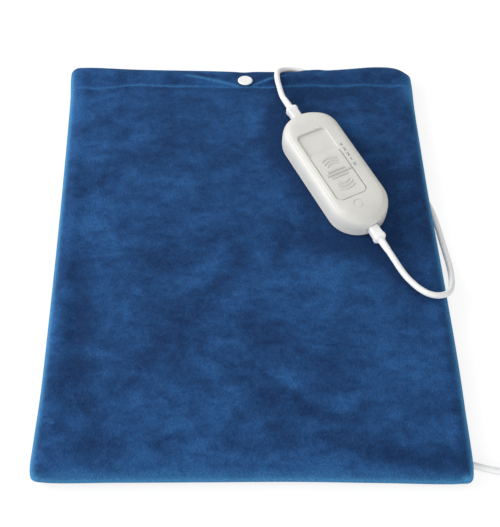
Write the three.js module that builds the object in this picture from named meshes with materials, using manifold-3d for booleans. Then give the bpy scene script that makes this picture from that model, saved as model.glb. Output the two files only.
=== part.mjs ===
// An electric heating pad in a plush cover, with its slide switch handset, both leads and the mains plug.
// Millimetres, +Z up. The pad lies flat, with the middle of its underside at the origin and its hem to +Y.
import * as THREE from 'three';
import { mergeVertices } from 'three/addons/utils/BufferGeometryUtils.js';
import Module from 'manifold-3d';

const wasm = await Module();
wasm.setup();

// Clearances that all pieces share
const seat = 0.3;
const overrun = 5;
const fullTurn = Math.PI * 2;
const half = 0.5;

// Plush cover
const coverWidth = 320;
const coverLength = 400;
const backThickness = 7;
const pocketHeight = 5;
const frontThickness = 4;
const seamHeight = 8;
const edgeRound = 14;
const crownRise = 0.8;
const sideWall = 12.5;
const hemDepth = 29;
const hemStitchWidth = 1.2;
const hemStitchDepth = 0.7;
const coverHeight = backThickness + pocketHeight + frontThickness;

// Outline of the cover, in shares of its half width and length, anticlockwise from the lower left corner.
// The sides are drawn in a little, the hem dips at the snap and the upper right corner droops.
const outlineShares = [
  [-0.982, -0.984], [-0.93, -0.993], [-0.6, -0.992], [-0.2, -0.989], [0.2, -0.989], [0.6, -0.995],
  [0.93, -1], [0.985, -0.99], [0.999, -0.95], [1, -0.72], [1, -0.45], [0.995, -0.22], [0.985, 0.03],
  [0.976, 0.24], [0.97, 0.5], [0.967, 0.75], [0.973, 0.88], [0.97, 0.935], [0.94, 0.967], [0.89, 0.987],
  [0.79, 0.993], [0.59, 0.981], [0.33, 0.965], [0.06, 0.966], [0, 0.962], [-0.06, 0.966], [-0.3, 0.972],
  [-0.62, 0.983],
  [-0.9, 0.994], [-0.965, 0.99], [-0.992, 0.962], [-0.99, 0.8], [-0.985, 0.5], [-0.982, 0.1],
  [-0.983, -0.3], [-0.987, -0.65], [-0.997, -0.85], [-0.999, -0.95],
];
const outlinePoints = 64;
const edgeShares = [0, 0.1, 0.34, 0.64, 1];
const crownShares = [0.66, 0.33, 0.06];

// Press stud in the middle of the hem
const snapAcross = 0.8;
const snapEdgeGap = 22.1;
const snapAlong = coverLength * half - snapEdgeGap;
const snapCapRadius = 6.8;
const snapCapHeight = 2;
const snapRimHeight = 0.7;
const snapDomeShares = [[0.86, 0.72], [0.55, 0.94]];
const snapPostRadius = 1.1;
const snapDiscRadius = 5;
const snapDiscHeight = 1.2;
const snapNubRadius = 1.9;
const snapNubHeight = 1.6;
const snapSocketHeight = 2.4;
const snapHemTop = 13.4;
const snapHemBottom = 3.1;
const snapDimpleRadius = 21;

// Electric heater inside the cover
const heaterSideGap = 16;
const heaterHemGap = 35;
const heaterFootGap = 15;
const heaterWidth = coverWidth - heaterSideGap * 2;
const heaterLength = coverLength - heaterHemGap - heaterFootGap;
const sheetThickness = 0.6;
const wireRadius = 0.8;
const waddingThickness = 0.8;
const bandWidth = 6;
const heaterCorner = 12;
const wireRows = 12;
const wireMargin = 12;
const wireTopGap = 1.7;
const wireRowPitch = (heaterLength - seat - bandWidth * 2 - wireMargin - wireTopGap) / wireRows;
const wireSides = 6;
const bendSteps = 5;
const cutoutRows = [3, 8];
const cutoutLength = 15;
const cutoutWidth = 6;
const glandWidth = 17;
const glandLength = 11.7;
const glandHeight = 5.4;
const glandAcross = 68.2;
const glandCorner = 2.2;
const glandWireGap = 7;

// Handset casing, in its own frame: length along X with the mains end at +X, marks on the +Y side
const handsetLength = 128.5;
const handsetWidth = 52;
const handsetHeight = 23;
const partingHeight = 9.5;
const handsetWall = 2.2;
const roofThickness = 2.6;
const handsetAcross = 74.3;
const handsetAlong = 65.8;
const handsetTurn = -64 * fullTurn / 360;
const casingPoints = 36;

// Heights of the casing's sections as shares of the casing's height, and how far each is drawn in, in shares
// of its half width
const baseHeightShares = [0, 0.03, 0.11, 0.22, 1];
const baseInsetShares = [0.17, 0.09, 0.03, 0.01, 0];
const roofHeightShares = [0, 0.34, 0.6, 0.78, 0.895, 0.955, 0.985, 1];
const roofInsetShares = [0, 0.012, 0.05, 0.12, 0.215, 0.33, 0.5, 0.73];
const roofInnerSections = 5;

// Slider and its window
const windowLength = 76;
const windowWidth = 28.5;
const windowCorner = 5.6;
const windowMidAlong = -0.5;
const windowMidAcross = -3.75;
const recessDepth = 2;
const trayThickness = 1.6;
const slideTravel = 23;
const knobClearance = 0.4;
const knobSink = 0.4;
const knobRampLength = 12;
const knobRampSteps = 5;
const knobToeHeight = 0.45;
const knobLength = windowLength - slideTravel - knobClearance * 2;
const knobWidth = windowWidth - knobClearance * 2;
const ridgeHeight = 0.45;
const ridgeWidth = 1.2;
const ridgePitch = 3.3;
const pointerLength = 24;
const shortRidgeLength = 16.5;
const ridgeOffset = 2.6;
const arcRadii = [8.1, 11.3, 14.5];
const arcHalfAngle = 0.7;
const arcSteps = 6;
const stemLength = 2.4;
const stemWidth = 7;
const barbLip = 0.6;
const barbHeight = 0.9;
const carriageLength = 20;
const carriageWidth = 16;
const carriageThickness = 2.4;
const carriageDrop = 0.6;
const springWidth = 3.4;
const springThickness = 0.4;
const springSpread = 5.6;

// Circuit board and what it carries
const boardThickness = 1.6;
const boardHeight = 6;
const boardEndGap = 22.25;
const boardSideGap = 7;
const boardLength = handsetLength - boardEndGap * 2;
const boardWidth = handsetWidth - boardSideGap * 2;
const boardCorner = 3;
const tongueMargin = 2.8;
const tongueWidth = 16;
const ribThickness = 1.4;
const ribEndGap = 12;
const componentGap = 1.5;
const fuseRadius = 2.6;
const fuseLength = 20;
const capacitorLength = 14;
const capacitorWidth = 7;
const capacitorHeight = 8;
const capacitorCorner = 1.4;
const capacitorAlong = 11;
const triacLength = 10;
const triacWidth = 4.5;
const triacHeight = 9;
const triacAlong = -10;
const terminalLength = 9;
const terminalWidth = 12;
const terminalHeight = 8;
const terminalAcross = 9.5;
const ledRadius = 2.5;
const ledHeight = 7;
const lensSegments = 20;
const lensRadius = 3.7;
const lensFlange = 1;
const lensFlangeHeight = 1;
const lensGapShare = 0.288;
const windowEnd = windowMidAlong + windowLength * half;
const lensAlong = windowEnd + (handsetLength * half - windowEnd) * lensGapShare;
const lensAcross = -4;
const lensSink = 0.6;
const lensSocket = 0.9;
const settings = 5;
const detentHeight = 2.2;
const detentThickness = 0.6;
const detentNub = 0.9;

// Casing screws and their bosses
const screwEndGap = 15.75;
const screwSideGap = 12.5;
const screwAlong = handsetLength * half - screwEndGap;
const screwAcross = handsetWidth * half - screwSideGap;
const screwHeadRadius = 2.6;
const screwHeadHeight = 1.8;
const screwShaftRadius = 1.3;
const screwLength = 15;
const screwRecess = 1.4;
const bossWall = 1.7;
const slotWidth = 0.7;
const slotDepth = 0.6;

// Strain reliefs at both ends of the handset, the same moulding twice
const reliefNeckWidth = 8.2;
const reliefNeckHeight = 6.6;
const reliefFlangeWidth = 11.5;
const reliefFlangeHeight = 9.6;
const reliefFlangeLength = 2.4;
const reliefWidth = 10;
const reliefHeight = 8.6;
const reliefShoulderWidth = 11;
const reliefShoulderHeight = 9.2;
const reliefBlockLength = 14.5;
const reliefChamferLength = 2.6;
const reliefTailWidth = 7.4;
const reliefTailLength = 7;
const reliefCorner = 2;
const cornerSteps = 4;
const roundestShare = 0.95;

// Leads
const cordDiameter = 5.1;
const cordSides = 8;
const cordPressing = 0.5;
const tunnelClearance = 1;
const coreRadius = 0.9;
const coreBendShare = 0.6;
const padLeadSteps = 16;
const mainsLeadSteps = 60;
const plugLeadSteps = 8;
const tunnelSteps = 38;
const tunnelSides = 6;

// Route of the pad lead: out of the handset's upper end, over the hem and back into the cover's mouth.
const padLeadRoute = [
  [35.4, 145.5, 25.8], [33.9, 148.6, 25.75], [32.8, 153.6, 24.7], [31.9, 161, 22.4], [31.3, 166.3, 21.1],
  [30.6, 171.6, 20], [30.1, 177, 19.2], [30.1, 182.4, 18.1], [30.8, 187.4, 16], [32.8, 191.7, 13.4],
  [36.3, 195, 11], [41.1, 197, 9.3], [46.5, 197.5, 8.6], [51.9, 196.4, 8.6], [56.9, 194.2, 8.6],
  [61.6, 191.2, 8.6], [65.6, 187.6, 8.7], [68, 182.6, 9], [68.2, 177, 9],
];

// Route of the mains lead: out of the lower end, over the cover's right edge, along it on the table, under
// the cover in a wide bend and out again at its lower right corner, to the coil.
const mainsLeadRoute = [
  [113.2, -13.9, 25.8], [115, -17.6, 25.75], [118.2, -22.9, 24.2], [122.1, -28.5, 21.6],
  [127.2, -35.4, 19.3], [133, -42.2, 18.6], [137.2, -46.4, 18.6], [142.1, -49.8, 18.5],
  [147.7, -51.4, 17.8], [153.5, -51, 16.6], [158.6, -48.6, 14.9], [162.3, -44.6, 12.6],
  [164.6, -39.7, 10.2], [166.2, -34.6, 7.7], [167.2, -29.1, 5.6], [167.8, -23.4, 4], [167.8, -17.6, 3],
  [167.4, -11.7, 2.6], [165.8, 0.1, 2.6], [164.2, 11.9, 2.6], [162.6, 23.7, 2.6], [160.5, 35.4, 2.6],
  [157.3, 46.8, 2.6], [152, 57.5, 2.6], [144.4, 65.6, 2.6], [135.4, 70.4, 2.6], [124.9, 71.6, 2.6],
  [114.9, 67.6, 2.6], [107.5, 58.6, 2.6], [104.1, 46, 2.6], [103.3, 20, 2.6], [104.2, -40, 2.6],
  [105.8, -95, 2.6], [109.5, -124, 2.6], [117.5, -148, 2.6], [130.5, -167, 2.6], [148, -180.5, 2.6],
  [168, -188.6, 2.6], [190, -193.4, 2.8], [212, -195.8, 3.5], [230, -195.8, 3.75],
];
const tunnelFirst = 17;
const tunnelLast = 38;

// Coil of the spare mains lead: two layers that spiral in and out again
const coilAcross = 235.5;
const coilAlong = -155.5;
const coilOuterRadius = 40.3;
const coilPitch = 5.65;
const coilLayerRise = 5.65;
const coilTurnsIn = 3.5;
const coilTurnsClimbing = 0.5;
const coilTurnsOut = 3.75;
const coilStepsPerTurn = 24;
const coilSides = 6;
const tieThickness = 0.9;
const tieWidth = 5;
const tieAngle = fullTurn / 8;
const tieCorner = 1.6;
const tieHeadLength = 6;
const tieHeadHeight = 3;

// Route of the last stretch, from the coil to the plug
const plugLeadRoute = [
  [277.2, -150.1, 9.4], [276.8, -142.4, 8.8], [274.4, -135.2, 7.4], [271.7, -128.1, 5.7],
  [268.8, -121.1, 4.1], [264.5, -114.7, 3.3], [258.9, -109.4, 3.3], [252.9, -104.5, 4.1],
  [247.3, -99, 5.6], [243.6, -91, 6.75], [243, -84.6, 6.85],
];

// Flat two pin plug, lying on its side with its pins towards +Y
const plugWidth = 35.3;
const plugThickness = 13.7;
const plugLength = 36;
const plugCorner = 5.5;
const plugNose = 9;
const plugSwellShares = [[0, 0.48, 0.73], [0.18, 0.72, 0.86], [0.42, 0.86, 0.94]];
const plugAcross = 243;
const plugRear = -66;
const plugReliefLength = 18;
const plugReliefRadius = 4.2;
const plugReliefRibs = 4;
const plugReliefGroove = 0.8;
const pinRadius = 2;
const pinNeckRadius = 1.35;
const pinLength = 19;
const pinSleeveLength = 10;
const pinPitch = 18.6;
const pinSocketDepth = 6;

const cordRadius = cordDiameter * half;

/** Makes a plain material of one colour. */
function finish(color, roughness, metalness = 0) {
  return new THREE.MeshStandardMaterial({ color, roughness, metalness });
}

const plush = finish(0x2a5a94, 0.95);
const felt = finish(0xe9e6df, 0.95);
const wadding = finish(0xf4f2ee, 1);
const casing = finish(0xdddbd4, 0.45);
const whitePlastic = finish(0xf3f3f1, 0.4);
const whiteCord = finish(0xf5f5f3, 0.5);
const blackPlastic = finish(0x1d1d1f, 0.5);
const boardGreen = finish(0x2f6b45, 0.6);
const copper = finish(0xb87333, 0.35, 1);
const steel = finish(0xb9bcc0, 0.35, 1);
const brass = finish(0xc9a24a, 0.35, 1);
const clearGlass = finish(0xdfe8ea, 0.1);
const amberPlastic = finish(0xc8912f, 0.5);
const redPlastic = finish(0xb8302a, 0.3);
const lensPlastic = finish(0xe8e8e4, 0.25);
const terminalGreen = finish(0x28733f, 0.5);
const nickelPlate = finish(0xcdc9c2, 0.25, 1);

/** Puts a named piece into a group. */
function addPiece(group, name, geometry, material) {
  const mesh = new THREE.Mesh(geometry, material);
  mesh.name = name;
  group.add(mesh);
}

/** Turns a closed geometry into a solid that can be joined and cut. */
function toSolid(geometry) {
  const bare = geometry.clone();
  bare.deleteAttribute('normal');
  bare.deleteAttribute('uv');
  const merged = mergeVertices(bare);
  const vertProperties = new Float32Array(merged.attributes.position.array);
  const triVerts = new Uint32Array(merged.index.array);
  return new wasm.Manifold(new wasm.Mesh({ numProp: 3, vertProperties, triVerts }));
}

/** Turns a solid back into a geometry. */
function toGeometry(solid) {
  const mesh = solid.getMesh();
  const geometry = new THREE.BufferGeometry();
  geometry.setAttribute('position', new THREE.BufferAttribute(mesh.vertProperties, 3));
  geometry.setIndex(new THREE.BufferAttribute(mesh.triVerts, 1));
  geometry.computeVertexNormals();
  return geometry;
}

/** Cuts every tool out of a geometry. */
function cut(geometry, ...tools) {
  let solid = toSolid(geometry);
  for (const tool of tools) solid = solid.subtract(toSolid(tool));
  return toGeometry(solid);
}

/** Joins geometries into one. */
function join(...geometries) {
  let solid = toSolid(geometries[0]);
  for (const other of geometries.slice(1)) solid = solid.add(toSolid(other));
  return toGeometry(solid);
}

/** A closed body skinned over rings of equally many points, each ring anticlockwise and above the last. */
function skin(rings) {
  const count = rings[0].length;
  const positions = rings.flat().flatMap((point) => [point.x, point.y, point.z]);
  const index = [];
  for (let ring = 0; ring < rings.length - 1; ring += 1) {
    for (let i = 0; i < count; i += 1) {
      const a = ring * count + i;
      const b = ring * count + (i + 1) % count;
      index.push(a, b, b + count, a, b + count, a + count);
    }
  }
  const last = (rings.length - 1) * count;
  const flatten = (ring) => ring.map((point) => new THREE.Vector2(point.x, point.y));
  for (const [a, b, c] of THREE.ShapeUtils.triangulateShape(flatten(rings[0]), [])) index.push(c, b, a);
  for (const [a, b, c] of THREE.ShapeUtils.triangulateShape(flatten(rings.at(-1)), [])) {
    index.push(last + a, last + b, last + c);
  }
  const geometry = new THREE.BufferGeometry();
  geometry.setAttribute('position', new THREE.Float32BufferAttribute(positions, 3));
  geometry.setIndex(index);
  geometry.computeVertexNormals();
  return geometry;
}

/** A rectangle with rounded corners, about its own middle. */
function roundedRectangle(width, height, corner) {
  const x = width * half;
  const y = height * half;
  const r = Math.min(corner, x, y);
  const shape = new THREE.Shape();
  shape.absarc(x - r, y - r, r, 0, fullTurn / 4);
  shape.absarc(r - x, y - r, r, fullTurn / 4, fullTurn / 2);
  shape.absarc(r - x, r - y, r, fullTurn / 2, fullTurn * 3 / 4);
  shape.absarc(x - r, r - y, r, fullTurn * 3 / 4, fullTurn);
  return shape;
}

/** Extrudes a shape upwards between two heights, with its arcs cut into so many straight steps. */
function prism(shape, bottom, top, curveSegments = 5) {
  const options = { depth: top - bottom, bevelEnabled: false, curveSegments };
  const geometry = new THREE.ExtrudeGeometry(shape, options);
  geometry.translate(0, 0, bottom);
  return geometry;
}

/** A block between two heights, about a middle in plan. */
function block(length, width, bottom, top, along = 0, across = 0) {
  const geometry = new THREE.BoxGeometry(length, width, top - bottom);
  geometry.translate(along, across, (bottom + top) * half);
  return geometry;
}

/** A solid of revolution about a standing axis; the profile lists radius and height from the bottom up. */
function turned(profile, along = 0, across = 0, segments = 20) {
  const points = profile.map(([radius, height]) => new THREE.Vector2(radius, height));
  const geometry = new THREE.LatheGeometry(points, segments);
  geometry.rotateX(fullTurn / 4);
  geometry.translate(along, across, 0);
  return geometry;
}

/** A path whose steps fall on its listed points, so that a straight run takes one step. */
class SteppedPath extends THREE.Curve {
  constructor(points) {
    super();
    this.points = points;
  }

  /** The place at a share of the listed points. */
  getPoint(share, target = new THREE.Vector3()) {
    const place = share * (this.points.length - 1);
    const i = Math.min(Math.floor(place), this.points.length - 2);
    return target.lerpVectors(this.points[i], this.points[i + 1], place - i);
  }

  /** The direction at a share: halfway between the runs on each side. */
  getTangent(share, target = new THREE.Vector3()) {
    const i = Math.round(share * (this.points.length - 1));
    const here = this.points[i];
    const before = this.points[Math.max(i - 1, 0)];
    const after = this.points[Math.min(i + 1, this.points.length - 1)];
    const arriving = here.clone().sub(before).normalize();
    const leaving = after.clone().sub(here).normalize();
    return target.copy(arriving).add(leaving).normalize();
  }

  getPointAt(share, target) {
    return this.getPoint(share, target);
  }

  getTangentAt(share, target) {
    return this.getTangent(share, target);
  }
}

/** A round section with its points on the circle. */
function roundSection(radius, sides) {
  const corners = [];
  for (let i = 0; i < sides; i += 1) {
    const angle = fullTurn * (i + half) / sides;
    corners.push(new THREE.Vector2(radius * Math.cos(angle), radius * Math.sin(angle)));
  }
  return new THREE.Shape(corners);
}

/** A solid tube along a path. */
function tube(path, radius, sides, steps) {
  const options = { extrudePath: path, steps, bevelEnabled: false };
  return new THREE.ExtrudeGeometry(roundSection(radius, sides), options);
}

/** The smooth curve through a route's points. */
function routeCurve(route) {
  return new THREE.CatmullRomCurve3(route.map(([x, y, z]) => new THREE.Vector3(x, y, z)));
}

/** The cover's outline in plan, with evenly spaced points, fitted to its full width and length. */
function coverOutline() {
  const corners = outlineShares.map(([x, y]) => new THREE.Vector3(x, y, 0));
  const curve = new THREE.CatmullRomCurve3(corners, true);
  const points = curve.getSpacedPoints(outlinePoints).slice(0, outlinePoints);
  const box = new THREE.Box3().setFromPoints(points);
  const size = box.getSize(new THREE.Vector3());
  const middle = box.getCenter(new THREE.Vector3());
  return points.map((point) => new THREE.Vector3(
    (point.x - middle.x) / size.x * coverWidth, (point.y - middle.y) / size.y * coverLength, 0));
}

/** One ring of the cover, drawn in from the outline by a distance and then shrunk towards the middle. */
function coverRing(outline, drawnIn, share, height) {
  const across = (1 - drawnIn / (coverWidth * half)) * share;
  const along = (1 - drawnIn / (coverLength * half)) * share;
  return outline.map((point) => new THREE.Vector3(point.x * across, point.y * along, height));
}

/** Height of a rounded edge at a share of its width. */
function roundedEdge(share) {
  return Math.sqrt(1 - (1 - share) ** 2);
}

/** The pocket between both panels that holds the heater. */
function pocket(bottom, top) {
  const width = coverWidth - sideWall * 2;
  const length = coverLength - sideWall - hemDepth;
  const geometry = block(width, length, bottom, top, 0, (sideWall - hemDepth) * half);
  return geometry;
}

/** Room for the lead's gland behind the hem. */
function glandRoom(bottom, top) {
  const end = coverLength * half - heaterHemGap + seat + glandLength;
  const length = glandLength + seat * 2 + overrun;
  return block(glandWidth + seat * 2, length, bottom, top, glandAcross, end + seat - length * half);
}

/** The upper panel of the cover, with its hem's stitch line and the dimple that the press stud pulls in. */
function coverFrontPanel(leadCuts) {
  const outline = coverOutline();
  const bottom = seamHeight + seat * half;
  const shoulder = coverHeight - crownRise - bottom;
  const rings = edgeShares.map((share) => (
    coverRing(outline, edgeRound * share, 1, bottom + shoulder * roundedEdge(share))));
  for (const share of crownShares) {
    rings.push(coverRing(outline, edgeRound, share, coverHeight - crownRise * share ** 2));
  }
  const stitchAlong = coverLength * half - hemDepth;
  const stitch = block(coverWidth, hemStitchWidth, coverHeight - crownRise - hemStitchDepth,
    coverHeight + overrun, 0, stitchAlong);
  const dimple = turned([[0, snapHemTop], [snapCapRadius + seat, snapHemTop],
    [snapDimpleRadius, coverHeight + seat], [0, coverHeight + seat]], snapAcross, snapAlong);
  const socketRoom = turned([[0, seamHeight - overrun], [snapDiscRadius + seat, seamHeight - overrun],
    [snapDiscRadius + seat, snapSocketTop + seat], [0, snapSocketTop + seat]], snapAcross, snapAlong);
  const postHole = turned([[0, seamHeight], [snapPostRadius + seat, seamHeight],
    [snapPostRadius + seat, coverHeight], [0, coverHeight]], snapAcross, snapAlong);
  const ceiling = backThickness + pocketHeight;
  return cut(skin(rings), pocket(bottom - overrun, ceiling), glandRoom(bottom - overrun, ceiling + seat),
    stitch, dimple, socketRoom, postHole, ...leadCuts);
}

/** The lower panel of the cover, with the hollow that the mains lead presses into it from below. */
function coverBackPanel(leadCuts) {
  const outline = coverOutline();
  const top = seamHeight - seat * half;
  const rings = edgeShares.map((share) => (
    coverRing(outline, edgeRound * share, 1, top * (1 - roundedEdge(share)))));
  rings.reverse();
  const capRoom = turned([[0, -overrun], [snapCapRadius + seat, -overrun],
    [snapCapRadius + seat, snapHemBottom], [0, snapHemBottom]], snapAcross, snapAlong);
  const studRoom = turned([[0, snapStudBottom - seat], [snapDiscRadius + seat, snapStudBottom - seat],
    [snapDiscRadius + seat, coverHeight], [0, coverHeight]], snapAcross, snapAlong);
  const postHole = turned([[0, 0], [snapPostRadius + seat, 0],
    [snapPostRadius + seat, coverHeight], [0, coverHeight]], snapAcross, snapAlong);
  const glandFloor = backThickness - (glandHeight - pocketHeight) - seat * 2;
  return cut(skin(rings), pocket(backThickness, top + overrun), glandRoom(glandFloor, top + overrun),
    capRoom, studRoom, postHole, ...leadCuts);
}

// Heights of the press stud's inner pieces, worked out from the seam
const snapStudBottom = seamHeight - snapDiscHeight - snapSocketHeight * half;
const snapNubTop = snapStudBottom + snapDiscHeight + snapNubHeight;
const snapSocketBottom = snapStudBottom + snapDiscHeight + seat;
const snapSocketTop = snapSocketBottom + snapSocketHeight;

/** A domed stud cap with its post, from the face that lies on the cloth. */
function snapCap(face, postEnd) {
  const up = Math.sign(face - postEnd);
  const dome = snapDomeShares.map(([radius, height]) => (
    [snapCapRadius * radius, face + up * snapCapHeight * height]));
  const profile = [
    [0, postEnd], [snapPostRadius, postEnd], [snapPostRadius, face],
    [snapCapRadius - snapRimHeight * half, face], [snapCapRadius, face + up * snapRimHeight * half],
    [snapCapRadius, face + up * snapRimHeight],
    ...dome, [0, face + up * snapCapHeight],
  ];
  return turned(up > 0 ? profile : profile.reverse(), snapAcross, snapAlong, 24);
}

/** Adds the cover's two panels and its press stud. */
function addCover(group, frontCuts, backCuts) {
  addPiece(group, 'cover_front_panel', coverFrontPanel(frontCuts), plush);
  addPiece(group, 'cover_back_panel', coverBackPanel(backCuts), plush);
  addPiece(group, 'snap_cap_front', snapCap(snapHemTop + seat, snapSocketTop + seat), whitePlastic);
  addPiece(group, 'snap_cap_back', snapCap(snapHemBottom - seat, snapStudBottom - seat), whitePlastic);
  const bore = snapNubRadius + seat;
  const boreTop = snapNubTop + seat;
  addPiece(group, 'snap_socket', turned([[bore, snapSocketBottom], [snapDiscRadius, snapSocketBottom],
    [snapDiscRadius, snapSocketTop], [0, snapSocketTop], [0, boreTop], [bore, boreTop],
    [bore, snapSocketBottom]], snapAcross, snapAlong), whitePlastic);
  const discTop = snapStudBottom + snapDiscHeight;
  addPiece(group, 'snap_stud', turned([[0, snapStudBottom], [snapDiscRadius, snapStudBottom],
    [snapDiscRadius, discTop], [snapNubRadius, discTop], [snapNubRadius, snapNubTop],
    [0, snapNubTop]], snapAcross, snapAlong), whitePlastic);
}

// The heater's layers, worked out from the pocket's floor
const heaterMiddle = coverLength * half - heaterHemGap - heaterLength * half;
const heaterTop = coverLength * half - heaterHemGap;
const bottomSheetTop = backThickness + seat + sheetThickness;
const wireMiddle = bottomSheetTop + seat + wireRadius;
const waddingBottom = wireMiddle + wireRadius + seat;
const waddingTop = waddingBottom + waddingThickness;
const glandMiddle = wireMiddle;

/** A sheet of the heater with rounded corners, drawn in from the heater's outline. */
function heaterSheet(drawnIn, bottom, top) {
  const width = heaterWidth - drawnIn * 2;
  const length = heaterLength - drawnIn * 2;
  const geometry = prism(roundedRectangle(width, length, heaterCorner - drawnIn), bottom, top);
  geometry.translate(0, heaterMiddle, 0);
  return geometry;
}

/** The heating wire's route: down the right margin, in rows up the pad, and back to the gland. */
function heatingWirePath() {
  const right = heaterWidth * half - bandWidth - wireMargin;
  const firstRow = heaterMiddle - heaterLength * half + bandWidth + wireMargin;
  const bend = wireRowPitch * half;
  const rowRight = right - wireRowPitch;
  const rowLeft = bend - right;
  const points = [];
  const add = (x, y) => points.push(new THREE.Vector3(x, y, wireMiddle));
  const arc = (x, y, from, to) => {
    for (let i = 1; i < bendSteps; i += 1) {
      const angle = from + (to - from) * i / bendSteps;
      add(x + bend * Math.cos(angle), y + bend * Math.sin(angle));
    }
  };
  const entry = heaterTop - seat;
  const topRow = entry - bandWidth - bend;
  add(glandAcross + glandWireGap * half, entry);
  add(glandAcross + glandWireGap * half, topRow + bend);
  arc(glandAcross + glandWireGap * half + bend, topRow + bend, fullTurn / 2, fullTurn * 3 / 4);
  add(glandAcross + glandWireGap * half + bend, topRow);
  add(right - bend, topRow);
  arc(right - bend, topRow - bend, fullTurn / 4, 0);
  add(right, topRow - bend);
  add(right, firstRow + bend);
  arc(right - bend, firstRow + bend, 0, -fullTurn / 4);
  for (let row = 0; row < wireRows; row += 1) {
    const y = firstRow + row * wireRowPitch;
    const leftwards = row % 2 === 0;
    const lastRow = row === wireRows - 1;
    add(leftwards ? (row === 0 ? right - bend : rowRight) : rowLeft, y);
    const end = lastRow ? glandAcross - glandWireGap * half - bend : rowRight;
    add(leftwards ? rowLeft : end, y);
    if (lastRow) break;
    const turn = leftwards ? -1 : 1;
    arc(leftwards ? rowLeft : rowRight, y + bend, -fullTurn / 4, -fullTurn / 4 + turn * fullTurn / 2);
  }
  const exitRow = firstRow + (wireRows - 1) * wireRowPitch;
  arc(glandAcross - glandWireGap * half - bend, exitRow + bend, -fullTurn / 4, 0);
  add(glandAcross - glandWireGap * half, exitRow + bend);
  add(glandAcross - glandWireGap * half, entry);
  return new SteppedPath(points);
}

/** The places of both thermal cut-outs, each beside a row of the heating wire. */
function cutoutPlaces() {
  const firstRow = heaterMiddle - heaterLength * half + bandWidth + wireMargin;
  const aside = wireRadius + seat + cutoutWidth * half;
  const quarter = heaterWidth / 4;
  return cutoutRows.map((row, i) => [i === 0 ? -quarter : quarter, firstRow + row * wireRowPitch + aside]);
}

/** Adds the heater: its sheets, edge band, wadding, heating wire, cut-outs and lead gland. */
function addHeater(group) {
  addPiece(group, 'heater_bottom_sheet', heaterSheet(0, backThickness + seat, bottomSheetTop), felt);
  const topSheetBottom = waddingTop + seat;
  const topSheetTop = backThickness + pocketHeight - seat;
  addPiece(group, 'heater_top_sheet', heaterSheet(0, topSheetBottom, topSheetTop), felt);
  const lower = bottomSheetTop + seat;
  const below = lower - overrun;
  const above = waddingTop + overrun;
  const notch = block(glandWidth, bandWidth * 3, below, above, glandAcross, heaterTop);
  const band = cut(heaterSheet(0, lower, waddingTop), heaterSheet(bandWidth, below, above), notch);
  addPiece(group, 'heater_edge_band', band, felt);
  const cutoutTop = waddingTop - seat;
  const places = cutoutPlaces();
  const holes = places.map(([x, y]) => (
    block(cutoutLength + seat * 2, cutoutWidth + seat * 2, below, above, x, y)));
  const filling = cut(heaterSheet(bandWidth + seat, waddingBottom, waddingTop), ...holes);
  addPiece(group, 'heater_wadding', filling, wadding);
  places.forEach(([x, y], i) => {
    const capsule = prism(roundedRectangle(cutoutLength, cutoutWidth, cutoutWidth * half), lower, cutoutTop);
    capsule.translate(x, y, 0);
    addPiece(group, `thermal_cutout_${i + 1}`, capsule, blackPlastic);
  });
  const path = heatingWirePath();
  addPiece(group, 'heating_wire', tube(path, wireRadius, wireSides, path.points.length - 1), copper);
  const gland = roundedRectangle(glandWidth, glandHeight, glandCorner);
  const glandBody = prism(gland, 0, glandLength, 3);
  glandBody.rotateX(-fullTurn / 4);
  glandBody.translate(glandAcross, heaterTop, glandMiddle);
  addPiece(group, 'heater_lead_gland', glandBody, whitePlastic);
}

/** A ring of the casing: two half circles joined by straight sides, drawn in and set at a height. */
function casingRing(drawnIn, height) {
  const radius = handsetWidth * half - drawnIn;
  const straight = (handsetLength - handsetWidth) * half;
  const points = [];
  const perEnd = casingPoints / 2;
  for (const end of [1, -1]) {
    for (let i = 0; i < perEnd; i += 1) {
      const angle = fullTurn * (half * i / (perEnd - 1) - half * half);
      points.push(new THREE.Vector3(end * (straight + radius * Math.cos(angle)),
        end * radius * Math.sin(angle), height));
    }
  }
  return points;
}

/** A casing body skinned over its section shares between two heights. */
function casingBody(heightShares, insetShares, bottom, top, wall = 0) {
  return skin(heightShares.map((share, i) => (
    casingRing(insetShares[i] * handsetWidth * half + wall, bottom + (top - bottom) * share))));
}

/** Prism of the slider window, wider or narrower by a margin. */
function windowPrism(margin, bottom, top) {
  const shape = roundedRectangle(windowLength + margin * 2, windowWidth + margin * 2, windowCorner + margin);
  const geometry = prism(shape, bottom, top);
  geometry.translate(windowMidAlong, windowMidAcross, 0);
  return geometry;
}

// Heights inside the handset, worked out from its casing and board
const boardTop = boardHeight + boardThickness;
const recessFloor = handsetHeight - recessDepth;
const trayBottom = recessFloor - trayThickness;
const knobRest = windowMidAlong + windowLength * half - knobClearance - knobLength * half;
const stemRest = windowMidAlong + slideTravel * half;
const carriageTop = trayBottom - carriageDrop;
const carriageBottom = carriageTop - carriageThickness;
const screwTop = screwRecess + screwHeadHeight + screwLength;
const terminalMiddle = (boardLength - terminalLength) * half - seat;

/** The opening for a strain relief's neck, at one end of the casing. */
function neckOpening(end) {
  const width = reliefNeckWidth + seat * 2;
  const height = reliefNeckHeight + seat * 2;
  return block(handsetWall * 4, width, partingHeight - height * half, partingHeight + height * half,
    end * handsetLength * half, 0);
}

/** Places of the four casing screws. */
function screwPlaces() {
  return [[1, 1], [-1, 1], [-1, -1], [1, -1]].map(([x, y]) => [x * screwAlong, y * screwAcross]);
}

/** A standing round bar, used for bosses, holes and shafts. */
function bar(radius, bottom, top, along = 0, across = 0, segments = 12) {
  return turned([[0, bottom], [radius, bottom], [radius, top], [0, top]], along, across, segments);
}

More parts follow.
